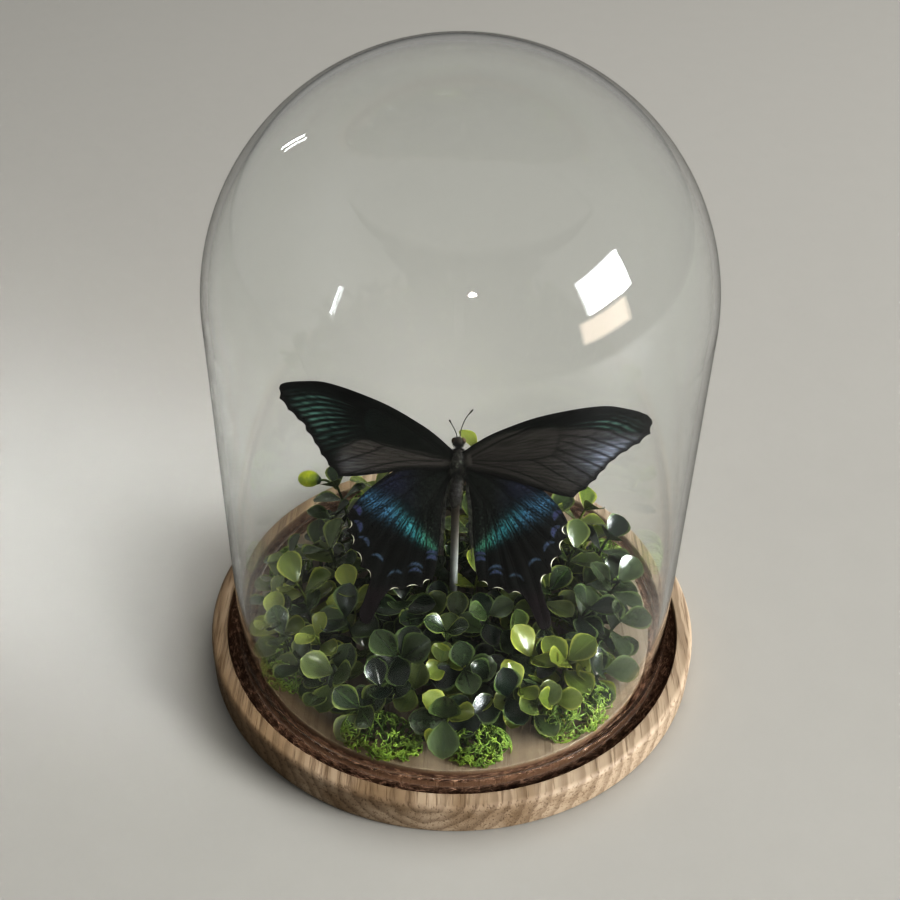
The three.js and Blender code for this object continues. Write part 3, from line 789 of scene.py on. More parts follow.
# Long hairs run back along the fold, from a line that widens to the rear, each bent by the square of its way.
def buildFoldHair():
    count = foldFur["count"]
    t = np.linspace(0, 1, foldFur["steps"])
    parts = []
    for sign in (-1, 1):
        start = chance.uniform(0, 1, count)
        x = np.interp(start, *np.transpose(foldFur["beside"])) + chance.uniform(*foldFur["scatter"], count)
        y = foldFur["front"] - foldFur["run"] * start
        length = chance.uniform(*foldFur["length"], count)
        bend = chance.uniform(*foldFur["bend"], count)[:, None] * length[:, None] * t**2
        arch = foldFur["arch"] * np.sin(math.pi * t) * chance.uniform(0, 1, count)[:, None]
        paths = np.stack([
            sign * (x[:, None] + foldFur["splay"] * length[:, None] * t + bend),
            y[:, None] - length[:, None] * t,
            foldFur["low"] + arch - foldFur["droop"] * t,
        ], -1)
        thick = foldFur["radius"] * np.sin(math.pi * (0.1 + 0.86 * t))
        radii = np.broadcast_to(thick, paths.shape[:2]) * mm
        parts.append(tubes(fromInsect(paths), radii, 3))
    settle(makePiece("foldHair", parts, [furMaterial()]), "insect_body")


antennae = {
    "left": [(-0.4, 9, -0.6), (-0.9, 11, 0.4), (-1.9, 13.2, 2), (-2.8, 15, 4)],
    "right": [(0.4, 9, -0.6), (0.9, 12, 0.3), (2.4, 15.6, 1.4), (4.8, 18.6, 2.2)],
}
legJoints = {
    "front": [(1.2, 4.2, -3), (4.4, 6.2, -5.4), (3.2, 3.4, -7.2), (3.9, 0.4, -7.6)],
    "middle": [(1.2, 1.4, -3.2), (6, 1.9, -5.8), (4.6, -1.6, -7.8), (5.3, -5.4, -8.2)],
    "hind": [(1.2, -1.4, -3.2), (6.4, -3.6, -5.2), (4.9, -7.4, -6.9), (5.8, -11.6, -7.1)],
}


# a swelling is its height, middle and reach
limb = {
    "feeler": 0.14, "waver": 0.03, "wavers": 150, "club": 0.12, "tip": 0.1,
    "leg": 0.16, "thigh": (0.14, 0.18, 0.16), "shin": (0.05, 0.5, 0.1),
}


# A bell curve of the way along.
def swelling(t, height, middle, reach):
    return height * np.exp(-((t - middle) / reach) ** 2)


# Feelers and legs are tubes on curves through their joints. A feeler widens to its club and wavers a little;
# a leg has a swelling at the thigh and one at the shin.
def buildLimbs():
    material = bodyMaterial()
    for side, points in antennae.items():
        path = throughPoints(points, 14)
        t = np.linspace(0, 1, len(path))
        club = smoothStep(0.8, 0.93, t) * limb["club"] - smoothStep(0.97, 1.0, t) * limb["tip"]
        radii = (limb["feeler"] + limb["waver"] * np.sin(t * limb["wavers"]) + club) * mm
        solid = tubes(fromInsect(path[None]), radii[None], 10)
        settle(makePiece(f"feeler{side.title()}", [solid], [material]), "insect_body", f"antenna_{side}")
    for pair, joints in legJoints.items():
        for side, sign in (("left", -1), ("right", 1)):
            path = throughPoints(np.array(joints) * (sign, 1, 1), 9)
            t = np.linspace(0, 1, len(path))
            radii = (limb["leg"] + swelling(t, *limb["thigh"]) + swelling(t, *limb["shin"])) * mm
            solid = tubes(fromInsect(path[None]), radii[None], 8)
            piece = makePiece(f"{pair}Leg{side.title()}", [solid], [material])
            settle(piece, "insect_body", f"leg_{pair}_{side}")


buildBody()
buildFur()
buildFoldHair()
buildLimbs()
print("body, hair, feelers and legs ready")


# Wings: outlines and veins of the right pair, clockwise from the root, seen from above, in millimetres.
# The forewing lies along +X and turns about its hinge; the hindwing is in the insect's own frame.
wing = {
    "dihedral": 1.5, "camber": 1.2, "span": 64, "sheet": 0.1, "layer": 0.35, "swell": 0.22, "ridge": 0.05,
    "upperRows": 62, "lowerRows": 16, "crowding": 1.25, "fanRadius": 30,
    # distances from a vein or from the margin between which each of these comes in
    "swellVein": (0.0, 2.0), "swellEdge": (0, 2.5), "sheetEdge": (-0.3, 0.5), "ridgeVein": (0.3, 0.05),
    "veinMark": (0.42, 0.14), "rimMark": (1.3, 0.1), "underEdge": (0.1, 1.5),
}
# In each outline the stretches with a depth are scalloped margins and the others are smooth.
foreWing = {
    "hinge": (3, 2), "centre": (8, 1), "sweep": {"left": 17.4, "right": 9}, "samples": 560, "base": (-6, 0),
    "outline": [("front", 0), ("margin", 0.5), ("inner", 0)],
    "front": [(-1.6, 2.6), (7.5, 6.5), (15, 8.6), (24, 10.4), (33, 11.2), (42, 11.4), (49, 10.8), (55, 8.9),
              (59.4, 7.1), (61.8, 5.5), (62.1, 3.9)],
    "margin": [(62.1, 3.9), (61.0, 0.7), (56.9, -1.9), (52.5, -3.7), (48.2, -5.8), (44.5, -8.5),
               (41.2, -11.4), (37.6, -14), (33.2, -16.2)],
    "inner": [(33.2, -16.2), (28.4, -14.7), (21, -11.3), (11, -6.6), (-1, -2.2), (-1.6, 2.6)],
    "cell": [(2, 1.2), (14, 5.2), (24, 7.7), (30, 8.2), (31.6, 5), (30.6, 1.4), (27, -2), (14, -1.6),
             (2, 0.2)],
    "veins": [
        [(30, 8.2), (40, 10), (52, 9.9)], [(30, 8.2), (48, 8.8), (61.8, 3.9)],
        [(31, 7), (48, 6.6), (61, 0.7)], [(31.6, 5.4), (46, 3.6), (56.9, -1.9)],
        [(31.5, 3.9), (43, 1), (52.5, -3.7)], [(31, 2.2), (41, -1.8), (48.2, -5.8)],
        [(29.8, 0), (38, -4.5), (44.5, -8.5)], [(28, -1.6), (35.5, -7), (41.2, -11.4)],
        [(21, -1.9), (30, -8.5), (37.6, -14)], [(2, -0.6), (16, -5.5), (33.2, -16.2)],
    ],
    # the line that parts the black front from the brown, and the painted sheen, a pale patch of painted
    # highlight on the brown: place, reach, strength
    "parting": {
        "left": [(2.9, 0.4), (20, -1.6), (29, -2.4), (35, -5.5), (40, -11)],
        "right": [(0, 4.2), (12.2, 7.8), (28, 6.8), (40, 5.0), (62.3, 0.4)],
    },
    "paintedSheen": {"left": ((34, -12), (10, 4), 0.12), "right": ((50, -5.5), (10.5, 5.5), 0.8)},
    "streaks": {"left": ((46.5, 0.2), (10.5, 8), 1.1), "right": ((47, 4.6), (10, 3.6), 0.9)},
    "brownness": {"left": 1, "right": 0.72},
}
hindWing = {
    "centre": (8, -8), "samples": 680, "base": (2, 6),
    "outline": [("front", 0), ("margin", 1.6), ("tail", 0), ("lobes", 1.2), ("inner", 0)],
    "front": [(1.4, 1.4), (9, 2.4), (17, 0.6), (24, -3.4), (29.8, -8), (33.6, -12), (35.9, -15.6),
              (36.5, -17)],
    "margin": [(36.5, -17), (36.6, -21.6), (34.9, -27.4), (31.6, -33.4), (28.4, -38.4)],
    "tail": [(28.4, -38.4), (30.1, -44), (31.6, -48.2), (31.2, -51.2), (29, -52.3), (27.2, -50.4),
             (25.4, -45.8), (22.8, -42)],
    "lobes": [(22.8, -42), (17.6, -40.8), (11, -39.8), (7.6, -37.2)],
    "inner": [(7.6, -37.2), (6.3, -31), (5.4, -22), (4.9, -13), (3.4, -6), (1.4, -3), (0.9, -0.8),
              (1.4, 1.4)],
    "cell": [(2, 0), (9, -2.5), (17, -9), (17.5, -13), (13, -16), (7.4, -9), (2, -1.6)],
    "veins": [
        [(9, -2.5), (22, -5), (36.2, -16.4)], [(17, -9), (27, -15), (36.6, -21.6)],
        [(17.5, -11.5), (26, -19.5), (34.9, -27.4)], [(17.3, -13.6), (24.5, -24), (31.6, -33.4)],
        [(15.4, -15), (22, -27), (27.6, -42), (29.6, -51)], [(13, -16), (18, -29), (22.6, -41.6)],
        [(11.6, -14.3), (14.6, -28), (17.4, -40.6)], [(9, -11), (10, -26), (10.8, -39.4)],
    ],
    # the middle of the bright band, from its outer end to its inner one, with its half width at each point
    "band": [
        (31, -9.6, 2.6), (27.4, -11.8, 3.3), (23, -14.4, 3.5), (19, -16.9, 3.1), (15.5, -20, 2.6),
        (12.5, -22.8, 2.2), (9.6, -25, 1.7), (7, -26.8, 1.2),
    ],
    # arcs inside the margin: middle, heading in degrees, length, half thickness, violet share
    "arcs": [
        (7.9, -28.2, 8, 4.2, 0.5, 1.0), (7.9, -29.9, 8, 3.6, 0.8, 0.7), (13.4, -32.5, 2, 5.0, 0.5, 0.3),
        (13.4, -34.2, 2, 4.2, 0.55, 0.6), (20.0, -35.1, -8, 4.8, 0.5, 0.1), (25.8, -30.0, 28, 4.6, 0.5, 0.2),
        (30.3, -24.6, 42, 4.4, 0.6, 0.45), (32.5, -19.8, 62, 4.0, 0.9, 0.8), (33.0, -14.6, 50, 3.6, 1.0, 1.0),
    ],
    "creamHalf": 0.28, "bow": 0.24, "arcTaper": 0.75,
}


# Between two vein ends the margin is drawn in along half a sine wave.
def scalloped(veinEnds, depth, perSpan=14):
    pieces = []
    for a, b in zip(np.array(veinEnds[:-1], float), np.array(veinEnds[1:], float)):
        t = np.linspace(0, 1, perSpan, endpoint=False)[:, None]
        inward = np.array([b[1] - a[1], a[0] - b[0]]) / np.linalg.norm(b - a)
        pieces.append(a + (b - a) * t + inward * depth * np.sin(math.pi * t))
    return np.vstack(pieces)


# The outline cut into equal steps, closed: places found along the length travelled.
def evenlySpaced(outline, count):
    closed = np.vstack([outline, outline[:1]])
    travelled = np.concatenate([[0], np.cumsum(np.linalg.norm(np.diff(closed, axis=0), axis=1))])
    wanted = np.arange(count) * travelled[-1] / count
    return np.stack([np.interp(wanted, travelled, closed[:, k]) for k in (0, 1)], -1)


# The stretches of an outline in turn: scalloped where a depth is given, elsewhere a smooth curve.
def wingOutline(shape):
    stretches = [
        scalloped(shape[key], depth) if depth else throughPoints(shape[key], 10)[:-1]
        for key, depth in shape["outline"]
    ]
    return evenlySpaced(np.vstack(stretches), shape["samples"])


# The curve through a path, thinned to points a fifth of a millimetre or so apart.
def closeSamples(path, spacing=0.22):
    curve = throughPoints(path, 40)
    count = max(3, int(np.linalg.norm(np.diff(curve[:, :2], axis=0), axis=1).sum() / spacing))
    return curve[np.linspace(0, len(curve) - 1, count).astype(int)]


# How far a point is inside a stroke whose half width changes along its path: 1 in the middle, 0 outside.
def strokeMask(points, path, soft=0.15):
    curve = closeSamples(path)
    gap = np.sqrt(((points[:, None] - curve[None, :, :2]) ** 2).sum(-1)) - curve[None, :, 2]
    return smoothStep(soft, -soft, gap.min(1))


# A bell curve about a place, with a reach along X and along Y, times a strength.
def blot(points, patch):
    (x, y), (wide, tall), strength = patch
    return strength * np.exp(-(((points[:, 0] - x) / wide) ** 2) - ((points[:, 1] - y) / tall) ** 2)


# Polar coordinates about a point near the wing's root: the arc at one radius, and the distance.
def fanPlace(points, origin):
    away = points - np.array(origin)
    bearing = np.arctan2(away[:, 1], away[:, 0])
    return np.stack([wing["fanRadius"] * bearing, np.linalg.norm(away, axis=1), np.zeros(len(points))], -1)


# Turned about the root by an angle in degrees, then moved to the hinge.
def turnedPlane(points, degrees, hinge):
    c, s = math.cos(math.radians(degrees)), math.sin(math.radians(degrees))
    return points @ np.array([[c, s], [-s, c]]) + np.array(hinge)


# A fan of rings from a point in the wing out to its margin, on the upper and the lower sheet.
# Both arch by half a sine wave across the span, swell between the veins and meet at the margin.
def wingSolid(shape, outline, side, layer, sweep=0.0, hinge=(0, 0)):
    centre = np.array(shape["centre"], float)
    upper = 1 - (1 - np.linspace(0, 1, wing["upperRows"])[1:]) ** wing["crowding"]
    lower = np.linspace(0, 1, wing["lowerRows"])[1:-1]
    share = np.concatenate([lower, upper[::-1]])
    flat = (centre + share[:, None, None] * (outline[None] - centre)).reshape(-1, 2)
    flat = np.vstack([flat, centre, centre])
    isUpper = np.append(np.repeat(np.arange(len(share)) >= len(lower), len(outline)), [0, 1])
    veins = np.vstack([closeSamples(path) for path in [*shape["veins"], shape["cell"]]])
    gap = nearestDistance(flat, veins)
    edge = nearestDistance(flat, outline)
    swell = wing["swell"] * (smoothStep(*wing["swellVein"], gap) - 0.5) * smoothStep(*wing["swellEdge"], edge)
    ridge = wing["ridge"] * smoothStep(*wing["ridgeVein"], gap)
    half = wing["sheet"] * smoothStep(*wing["sheetEdge"], edge) + ridge
    plane = turnedPlane(flat, sweep, hinge)
    arch = wing["camber"] * np.sin(math.pi * plane[:, 0] / wing["span"])
    z = layer + arch + swell + np.where(isUpper > 0, half, -half)
    sign = -1 if side == "left" else 1
    tilt = math.radians(wing["dihedral"]) * sign
    x = plane[:, 0] * sign
    z, x = z * math.cos(tilt) + x * math.sin(tilt), x * math.cos(tilt) - z * math.sin(tilt)
    placed = np.stack([x, plane[:, 1], z], -1)
    solid = ringSolids(placed[:-2].reshape(1, len(share), len(outline), 3), placed[None, -2:])
    if side == "right":
        solid["quads"], solid["tris"] = solid["quads"][:, ::-1], solid["tris"][:, ::-1]
    solid["points"] = fromInsect(solid["points"])
    solid["vein"] = smoothStep(*wing["veinMark"], gap)
    solid["rim"] = smoothStep(*wing["rimMark"], edge)
    solid["fan"] = fanPlace(flat, shape["base"])
    solid["under"] = (1 - isUpper) * smoothStep(*wing["underEdge"], edge)
    return solid, flat, gap, edge


# Streaks run between each vein and the fold half way to the next one, and fade towards the margin.
def foreWingMarks(solid, flat, gap, edge, side):
    veins = foreWing["veins"]
    folds = [np.add(a, b) / 2 for a, b in zip(veins[1:-1], veins[2:])]
    foldGap = nearestDistance(flat, np.vstack([closeSamples(fold) for fold in folds]))
    between = smoothStep(0.3, 0.85, np.minimum(gap, foldGap))
    line = np.array(foreWing["parting"][side], float)
    above = flat[:, 1] - np.interp(flat[:, 0], line[:, 0], line[:, 1])
    brown = smoothStep(0.5, -0.9, above) * smoothStep(0.2, 2.2, edge)
    if side == "left":
        brown *= smoothStep(40.5, 34.5, flat[:, 0] - 0.25 * flat[:, 1])
    solid["brown"] = brown * foreWing["brownness"][side]
    streak = blot(flat, foreWing["streaks"][side]) * between
    solid["streak"] = streak * smoothStep(0.8, 3.0, edge) * (1 - brown)
    # Painted highlight: a pale grey-blue sheen laid on the brown, strong on the right forewing and faint on
    # the left.
    solid["paintedSheen"] = blot(flat, foreWing["paintedSheen"][side]) * brown * (0.62 + 0.38 * between)
    solid["speck"] = smoothStep(-6, 3, above) * smoothStep(40, 20, flat[:, 0]) * 0.7 + 0.3 * brown


# A shallow bow: a parabola across its heading, thinnest at both ends. The last value is its hue.
def arcPath(x, y, heading, length, half, _):
    t = np.linspace(-1, 1, 5)
    c, s = math.cos(math.radians(heading)), math.sin(math.radians(heading))
    along, bulge = t * length / 2, hindWing["bow"] * length * (1 - t**2) - hindWing["bow"] / 2 * length
    width = half * (1 - hindWing["arcTaper"] * t**2)
    return np.stack([x + along * c - bulge * s, y + along * s + bulge * c, width], -1)


# The band is a bell curve of the distance from its line over its half width there. Cream lies on scallops.
def hindWingMarks(solid, flat, edge):
    band = np.array(hindWing["band"], float)
    curve = closeSamples(band)
    away = flat[:, None] - curve[None, :, :2]
    distance = np.sqrt((away**2).sum(-1))
    nearest = distance.argmin(1)
    share = distance.min(1) / curve[nearest, 2]
    x, y = flat[:, 0], flat[:, 1]
    solid["band"] = np.exp(-(share**2) * 1.1) * smoothStep(4.6, 6.6, x)
    solid["hue"] = np.clip((x - 6) / 22, 0, 1)
    inside = (y > np.interp(x, band[::-1, 0], band[::-1, 1])).astype(float)
    violet = inside * smoothStep(10, 26, x) * smoothStep(0, 3, share)
    solid["violet"] = violet * smoothStep(0.3, 2, edge) * 0.9
    solid["speck"] = inside * smoothStep(30, 8, x)
    arcs = [(strokeMask(flat, arcPath(*arc), 0.2), arc[-1]) for arc in hindWing["arcs"]]
    solid["arc"] = np.max([mask for mask, _ in arcs], 0)
    solid["arcHue"] = np.max([mask * violet for mask, violet in arcs], 0)
    cream = np.zeros(len(flat))
    for veinEnds, depth in [(hindWing[key], depth) for key, depth in hindWing["outline"] if depth]:
        for a, b in zip(veinEnds[:-1], veinEnds[1:]):
            notch = scalloped([a, b], depth, 15)[4:13]
            half = hindWing["creamHalf"] * np.sin(np.linspace(0.1, 0.9, len(notch)) * math.pi)
            cream = np.maximum(cream, strokeMask(flat, np.column_stack([notch, half]), 0.14))
    solid["cream"] = cream
    solid["tail"] = smoothStep(-38, -43, y)


# colours of the wings' parts, two where one varies, and how three noises are drawn out
scales = {
    "ground": ((0.0018, 0.0018, 0.0017), (0.0058, 0.0060, 0.0054)),
    "brown": ((0.020, 0.0178, 0.0158), (0.043, 0.038, 0.034)),
    # paintedSheen: the colours of the painted highlight on the forewings' brown
    "paintedSheen": ((0.096, 0.106, 0.136), (0.222, 0.246, 0.298)),
    "streak": ((0.014, 0.033, 0.026), (0.068, 0.125, 0.102)),
    "violet": ((0.009, 0.010, 0.019), (0.024, 0.026, 0.050)),
    "under": ((0.040, 0.035, 0.031), (0.115, 0.103, 0.092)),
    "arc": ((0.040, 0.064, 0.084), (0.036, 0.038, 0.080)),
    "glow": ((0.052, 0.160, 0.108), (0.040, 0.152, 0.164), (0.054, 0.122, 0.180)),
    "speck": (0.056, 0.070, 0.056), "tail": (0.009, 0.006, 0.007), "vein": (0.004, 0.0035, 0.0035),
    "veinUnder": (0.006, 0.005, 0.005), "rim": (0.009, 0.008, 0.008), "cream": (0.55, 0.53, 0.42),
    "hairs": (2.1, 0.12, 1), "rows": (2.3, 1.1, 1), "nap": (0.9, 0.07, 1),
}


# Scales: a dark ground and marks from the wing's own attributes, broken up by grain along and across it.
def wingMaterial(name):
    material, tree, shader = startMaterial(name)
    fan = tree.vector("fan")
    fine = tree.noise(fan, scales["hairs"], 3, 0.6)
    rows = tree.noise(fan, scales["rows"], 2, 0.5)
    streaked = tree.ramp(fine, 0.36, 0.64)
    color = tree.mix(streaked, *scales["ground"])
    color = tree.mix(tree.value("brown"), color, tree.mix(streaked, *scales["brown"]))
    specks = tree.times(tree.value("speck"), tree.ramp(rows, 0.52, 0.68, 0, 0.55))
    color = tree.mix(specks, color, scales["speck"])
    # The first of these is the painted sheen, a painted highlight; the streaks are the wing's own colour.
    for mark in ("paintedSheen", "streak"):
        color = tree.mix(tree.value(mark), color, tree.mix(streaked, *scales[mark]))
    color = tree.mix(tree.value("violet"), color, tree.mix(tree.ramp(rows, 0.40, 0.62), *scales["violet"]))
    green, teal, blue = scales["glow"]
    hue = tree.value("hue")
    glow = tree.mix(tree.ramp(hue, 0.42, 0.85), tree.mix(tree.ramp(hue, 0.1, 0.42), green, teal), blue)
    broken = tree.ramp(tree.times(rows, fine), 0.17, 0.35, 0.08, 0.95)
    color = tree.mix(tree.times(tree.value("band"), broken), color, glow)
    color = tree.mix(tree.value("tail"), color, scales["tail"])
    arc = tree.mix(tree.value("arcHue"), *scales["arc"])
    color = tree.mix(tree.times(tree.value("arc"), tree.ramp(rows, 0.3, 0.55, 0.45, 1.0)), color, arc)
    color = tree.mix(tree.times(tree.value("vein"), 0.72), color, scales["vein"])
    color = tree.mix(tree.times(tree.value("rim"), 0.6), color, scales["rim"])
    color = tree.mix(tree.value("cream"), color, scales["cream"])
    under = tree.mix(streaked, *scales["under"])
    under = tree.mix(tree.times(tree.value("vein"), 0.8), under, scales["veinUnder"])
    tree.fill(shader, {
        "Base Color": tree.mix(tree.value("under"), color, under), "Specular IOR Level": 0.08,
        "Roughness": tree.ramp(mottled(tree, 160.0, 3200.0)["tone"], 0.35, 0.65, 0.62, 0.78),
    })
    bumped(tree, shader, tree.noise(fan, scales["nap"], 1), 0.00008, 0.3)
    return material


wingKeys = ("fan", "vein", "rim", "under")
foreKeys = ("brown", "streak", "paintedSheen", "speck")
hindKeys = ("band", "hue", "violet", "speck", "arc", "arcHue", "cream", "tail")


def buildWings():
    material = wingMaterial("wingScales")
    foreEdge, hindEdge = wingOutline(foreWing), wingOutline(hindWing)
    for side in ("left", "right"):
        sweep, hinge = foreWing["sweep"][side], foreWing["hinge"]
        solid, flat, gap, edge = wingSolid(foreWing, foreEdge, side, wing["layer"], sweep, hinge)
        foreWingMarks(solid, flat, gap, edge, side)
        piece = makePiece(f"upperWing{side.title()}", [solid], [material], wingKeys + foreKeys)
        settle(piece, "wing_scales", f"forewing_{side}")
        solid, flat, _, edge = wingSolid(hindWing, hindEdge, side, -wing["layer"])
        hindWingMarks(solid, flat, edge)
        piece = makePiece(f"lowerWing{side.title()}", [solid], [material], wingKeys + hindKeys)
        settle(piece, "wing_scales", f"hindwing_{side}")


buildWings()
print("wings ready")


# Boxwood sprigs

leaf = {
    "widthRatio": 0.82, "belly": 1.5, "roundness": 0.62, "cup": 0.16, "cups": (0.6, 1.3), "curl": 0.12,
    "crease": 0.3, "creaseHalf": 0.55, "thickness": 0.34, "thinner": 0.4, "rows": 7, "tipLength": 1,
    "pairSpacing": 5.5, "lowestPair": 0.25, "lowestExtra": 0.12, "pairTurns": (0, 90, 45, 120, 20),
    "firstOpening": 48, "openingStep": 20, "extraOpening": 8, "drift": 7, "shrink": 0.92, "extraShrink": 0.88,
    "tones": (0, 0.6), "aboveWood": 0.3, "reach": 71.8,
}
stem = {"radius": 0.55, "taper": (1.15, 0.75), "steps": 12, "sides": 7, "tone": 0.35, "rim": 0.5}
# top of the stem, lean from the upright, turn of the top pair, pairs of leaves, leaf length, tone
sprigs = [
    ((-18, -43, 34), 48, 43, 3, 13, "dark"), ((-2, -28, 31), 12, 5, 2, 10, "green"),
    ((12, -22, 33), 20, 10, 3, 10.5, "dark"), ((26, -35, 27), 10, 85, 2, 13, "yellow"),
    ((38, -36, 27), 15, 10, 2, 12.5, "yellow"), ((18, -51, 25), 38, 85, 2, 12.5, "dark"),
    ((4, -42, 28), 38, 80, 2, 11.5, "dark"), ((-2, -60, 24), 60, 90, 1, 13.5, "dark"),
    ((33, -50, 23), 35, 25, 1, 10, "yellow"), ((-38, -44, 27), 30, 165, 2, 12.5, "green"),
    ((-45, -31, 31), 20, 75, 2, 9, "yellow"), ((-56.5, -26.5, 26), 20, 15, 2, 11.5, "green"),
    ((-29, -55, 23), 38, 20, 2, 11.5, "green"), ((-36, -23, 31), 20, 55, 2, 13, "dark"),
    ((-54, -8, 32), 25, 0, 2, 13, "yellow"), ((-59, 9, 27), 30, 50, 2, 11, "green"),
    ((-44, 7, 34), 20, 30, 2, 13, "green"), ((-35, -12, 33), 10, 5, 1, 10.5, "yellow"),
    ((-43, 30, 44), 25, 150, 3, 11, "green"), ((-44, 21, 36), 20, 70, 2, 11, "dark"),
    ((48, 27, 38), 30, 20, 2, 11, "yellow"), ((36, 25, 37), 20, 70, 2, 12, "green"),
    ((56, 17, 33), 30, 45, 2, 12.5, "dark"), ((43, 9, 35), 20, 10, 3, 12.5, "green"),
    ((33, -10, 33), 12, 25, 2, 11.5, "green"), ((46, -17, 32), 25, 75, 3, 12, "dark"),
    ((58, -3, 31), 28, 30, 2, 12.5, "dark"), ((57, -19, 28), 35, 60, 2, 12, "dark"),
    ((50, -38, 24), 38, 40, 1, 12, "dark"), ((8, 49, 46), 20, 30, 2, 11, "yellow"),
    ((6, 17, 41), 5, 70, 2, 11.5, "green"), ((-16, 34, 38), 20, 10, 2, 12, "dark"),
    ((26, 42, 36), 25, 60, 1, 12, "green"), ((-17, -16, 33), 10, 45, 2, 11.5, "dark"),
    ((-62.5, -10, 26), 20, 60, 1, 10, "green"), ((-22, 12, 34), 10, 25, 2, 12, "dark"),
]


# A leaf along +Y with its upper face to +Z: a ring of eight points in each row, and its two ends.
# Its half width is a power of the sine of a power of the way along it, widest past the middle.
def leafTemplate():
    t = (np.arange(leaf["rows"]) + 0.55) / (leaf["rows"] + 0.1)
    half = leaf["widthRatio"] / 2 * np.sin(math.pi * t ** leaf["belly"]) ** leaf["roundness"]
    across = np.array([-1, -0.52, 0, 0.52, 1, 0.52, 0, -0.52])
    face = np.array([0, 1, 1, 1, 0, -1, -1, -1])
    return t, half, across, face


# A leaf that would pass through the wood lies flat on it; one that would pass through the glass leans on it.
def keptInside(points):
    kept = np.array(points)
    kept[..., 2] = np.maximum(kept[..., 2], plateauZ / mm + leaf["aboveWood"])
    reach = np.linalg.norm(kept[..., :2], axis=-1, keepdims=True)
    kept[..., :2] *= np.minimum(1, leaf["reach"] / np.maximum(reach, 1))
    return kept


# The blade sinks with the square of the way along it, cups with the square of the way across it and has a
# bell-shaped crease at the rib. Nodes are (leaves, 3), frames (leaves, 3, 3) with columns X, Y and Z.
def leafSolids(nodes, frames, lengths, cups, tones):
    t, half, across, face = leafTemplate()
    size = lengths[:, None, None]
    x = size * half[None, :, None] * across
    y = size * t[None, :, None] * np.ones_like(across)
    rib = -leaf["curl"] * size * t[None, :, None] ** 2
    bowl = 4 * leaf["cup"] * cups[:, None, None] * x**2 / (size * leaf["widthRatio"])
    crease = -leaf["crease"] * np.exp(-(x / leaf["creaseHalf"]) ** 2)
    sheet = leaf["thickness"] / 2 * face * (1 - leaf["thinner"] * np.abs(across))
    local = np.stack([x, y, rib + bowl + crease], -1)
    ends = np.zeros((len(lengths), 2, 3))
    ends[:, 1, 1] = lengths
    ends[:, 1, 2] = -leaf["curl"] * lengths - 0.05
    placed = keptInside(np.einsum("lij,lrsj->lrsi", frames, local) + nodes[:, None, None])
    placed = placed + frames[:, None, None, :, 2] * sheet[:, None]
    placedEnds = keptInside(np.einsum("lij,lej->lei", frames, ends) + nodes[:, None])
    solid = ringSolids(placed * mm, placedEnds * mm)
    rim = np.broadcast_to(np.abs(across), x.shape)
    solid["leafRim"] = ringValues(rim, np.tile([0.0, 1.0], (len(x), 1)))
    tone = np.broadcast_to(tones[:, None, None], x.shape)
    solid["leafTone"] = ringValues(tone, np.repeat(tones[:, None], 2, 1))
    return solid


# The stem is a quadratic Bezier curve: upright from its foot, bent over to the lean of the top pair.
def sprigCurve(top, lean, steps):
    crown = np.array(top, float)
    outward = unit(np.array([crown[0], crown[1], 0]))
    axis = outward * math.sin(math.radians(lean)) + np.array([0, 0, math.cos(math.radians(lean))])
    bend = crown - axis * (crown[2] - plateauZ / mm) / 2
    foot = np.array([bend[0], bend[1], plateauZ / mm])
    t = np.linspace(0, 1, steps)[:, None]
    return axis, outward, foot * (1 - t) ** 2 + 2 * bend * t * (1 - t) + crown * t**2


# Pairs of opposite leaves at equal steps down the stem, each pair turned about it and wider open than the one
# above. The extra pairs at the foot are smaller and drift a little.
def sprigLeaves(top, lean, spin, pairs, size, extra):
    axis, outward, curve = sprigCurve(top, lean, 40)
    across = unit(np.cross(axis, outward))
    facing = np.cross(across, axis)
    travelled = np.concatenate([[0], np.cumsum(np.linalg.norm(np.diff(curve, axis=0), axis=1))])
    length = travelled[-1]
    rows = []
    for pair in range(pairs + extra):
        isExtra = pair >= pairs
        below = (leaf["tipLength"] + pair * leaf["pairSpacing"]) / length
        if isExtra and 1 - below < leaf["lowestExtra"]:
            break
        at = max(1 - below, leaf["lowestPair"]) * length
        node = np.array([np.interp(at, travelled, curve[:, k]) for k in range(3)])
        wider = leaf["openingStep"] * min(pair, 2) + (leaf["extraOpening"] if pair > 2 else 0)
        opening = math.radians(leaf["firstOpening"] + wider)
        shrunk = leaf["shrink"] if pair == 0 else leaf["extraShrink"] if isExtra else 1
        for half in (0, 180):
            drift = chance.normal(0, leaf["drift"]) if isExtra else 0
            angle = math.radians(spin + leaf["pairTurns"][pair] + half + drift)
            spread = across * math.cos(angle) + facing * math.sin(angle)
            along = axis * math.cos(opening) + spread * math.sin(opening)
            up = axis * math.sin(opening) - spread * math.cos(opening)
            rows.append((node, np.stack([np.cross(along, up), along, up], 1), size * shrunk))
    return rows


# Glossy leaf with a paler rim and rib.
def leafMaterial(name, color, edge, vein):
    material, tree, shader = startMaterial(name)
    rim = tree.ramp(tree.value("leafRim"), 0.72, 0.98, 0, 0.95)
    rib = tree.ramp(tree.value("leafRim"), 0.0, 0.14, 0.6, 0)
    tone = mottled(tree, 130.0, 900.0)
    lively = tree.math("ADD", tree.value("leafTone"), tree.times(tone["tone"], 0.5))
    ground = tree.mix(tree.ramp(lively, 0.25, 1.5), color, edge)
    tree.fill(shader, {
        "Base Color": tree.mix(rib, tree.mix(rim, ground, edge), vein), "Specular IOR Level": 0.75,
        "Roughness": tree.ramp(tone["tone"], 0.35, 0.65, 0.15, 0.27),
    })
    bumped(tree, shader, tone["height"], 0.00012, 0.5)
    return material


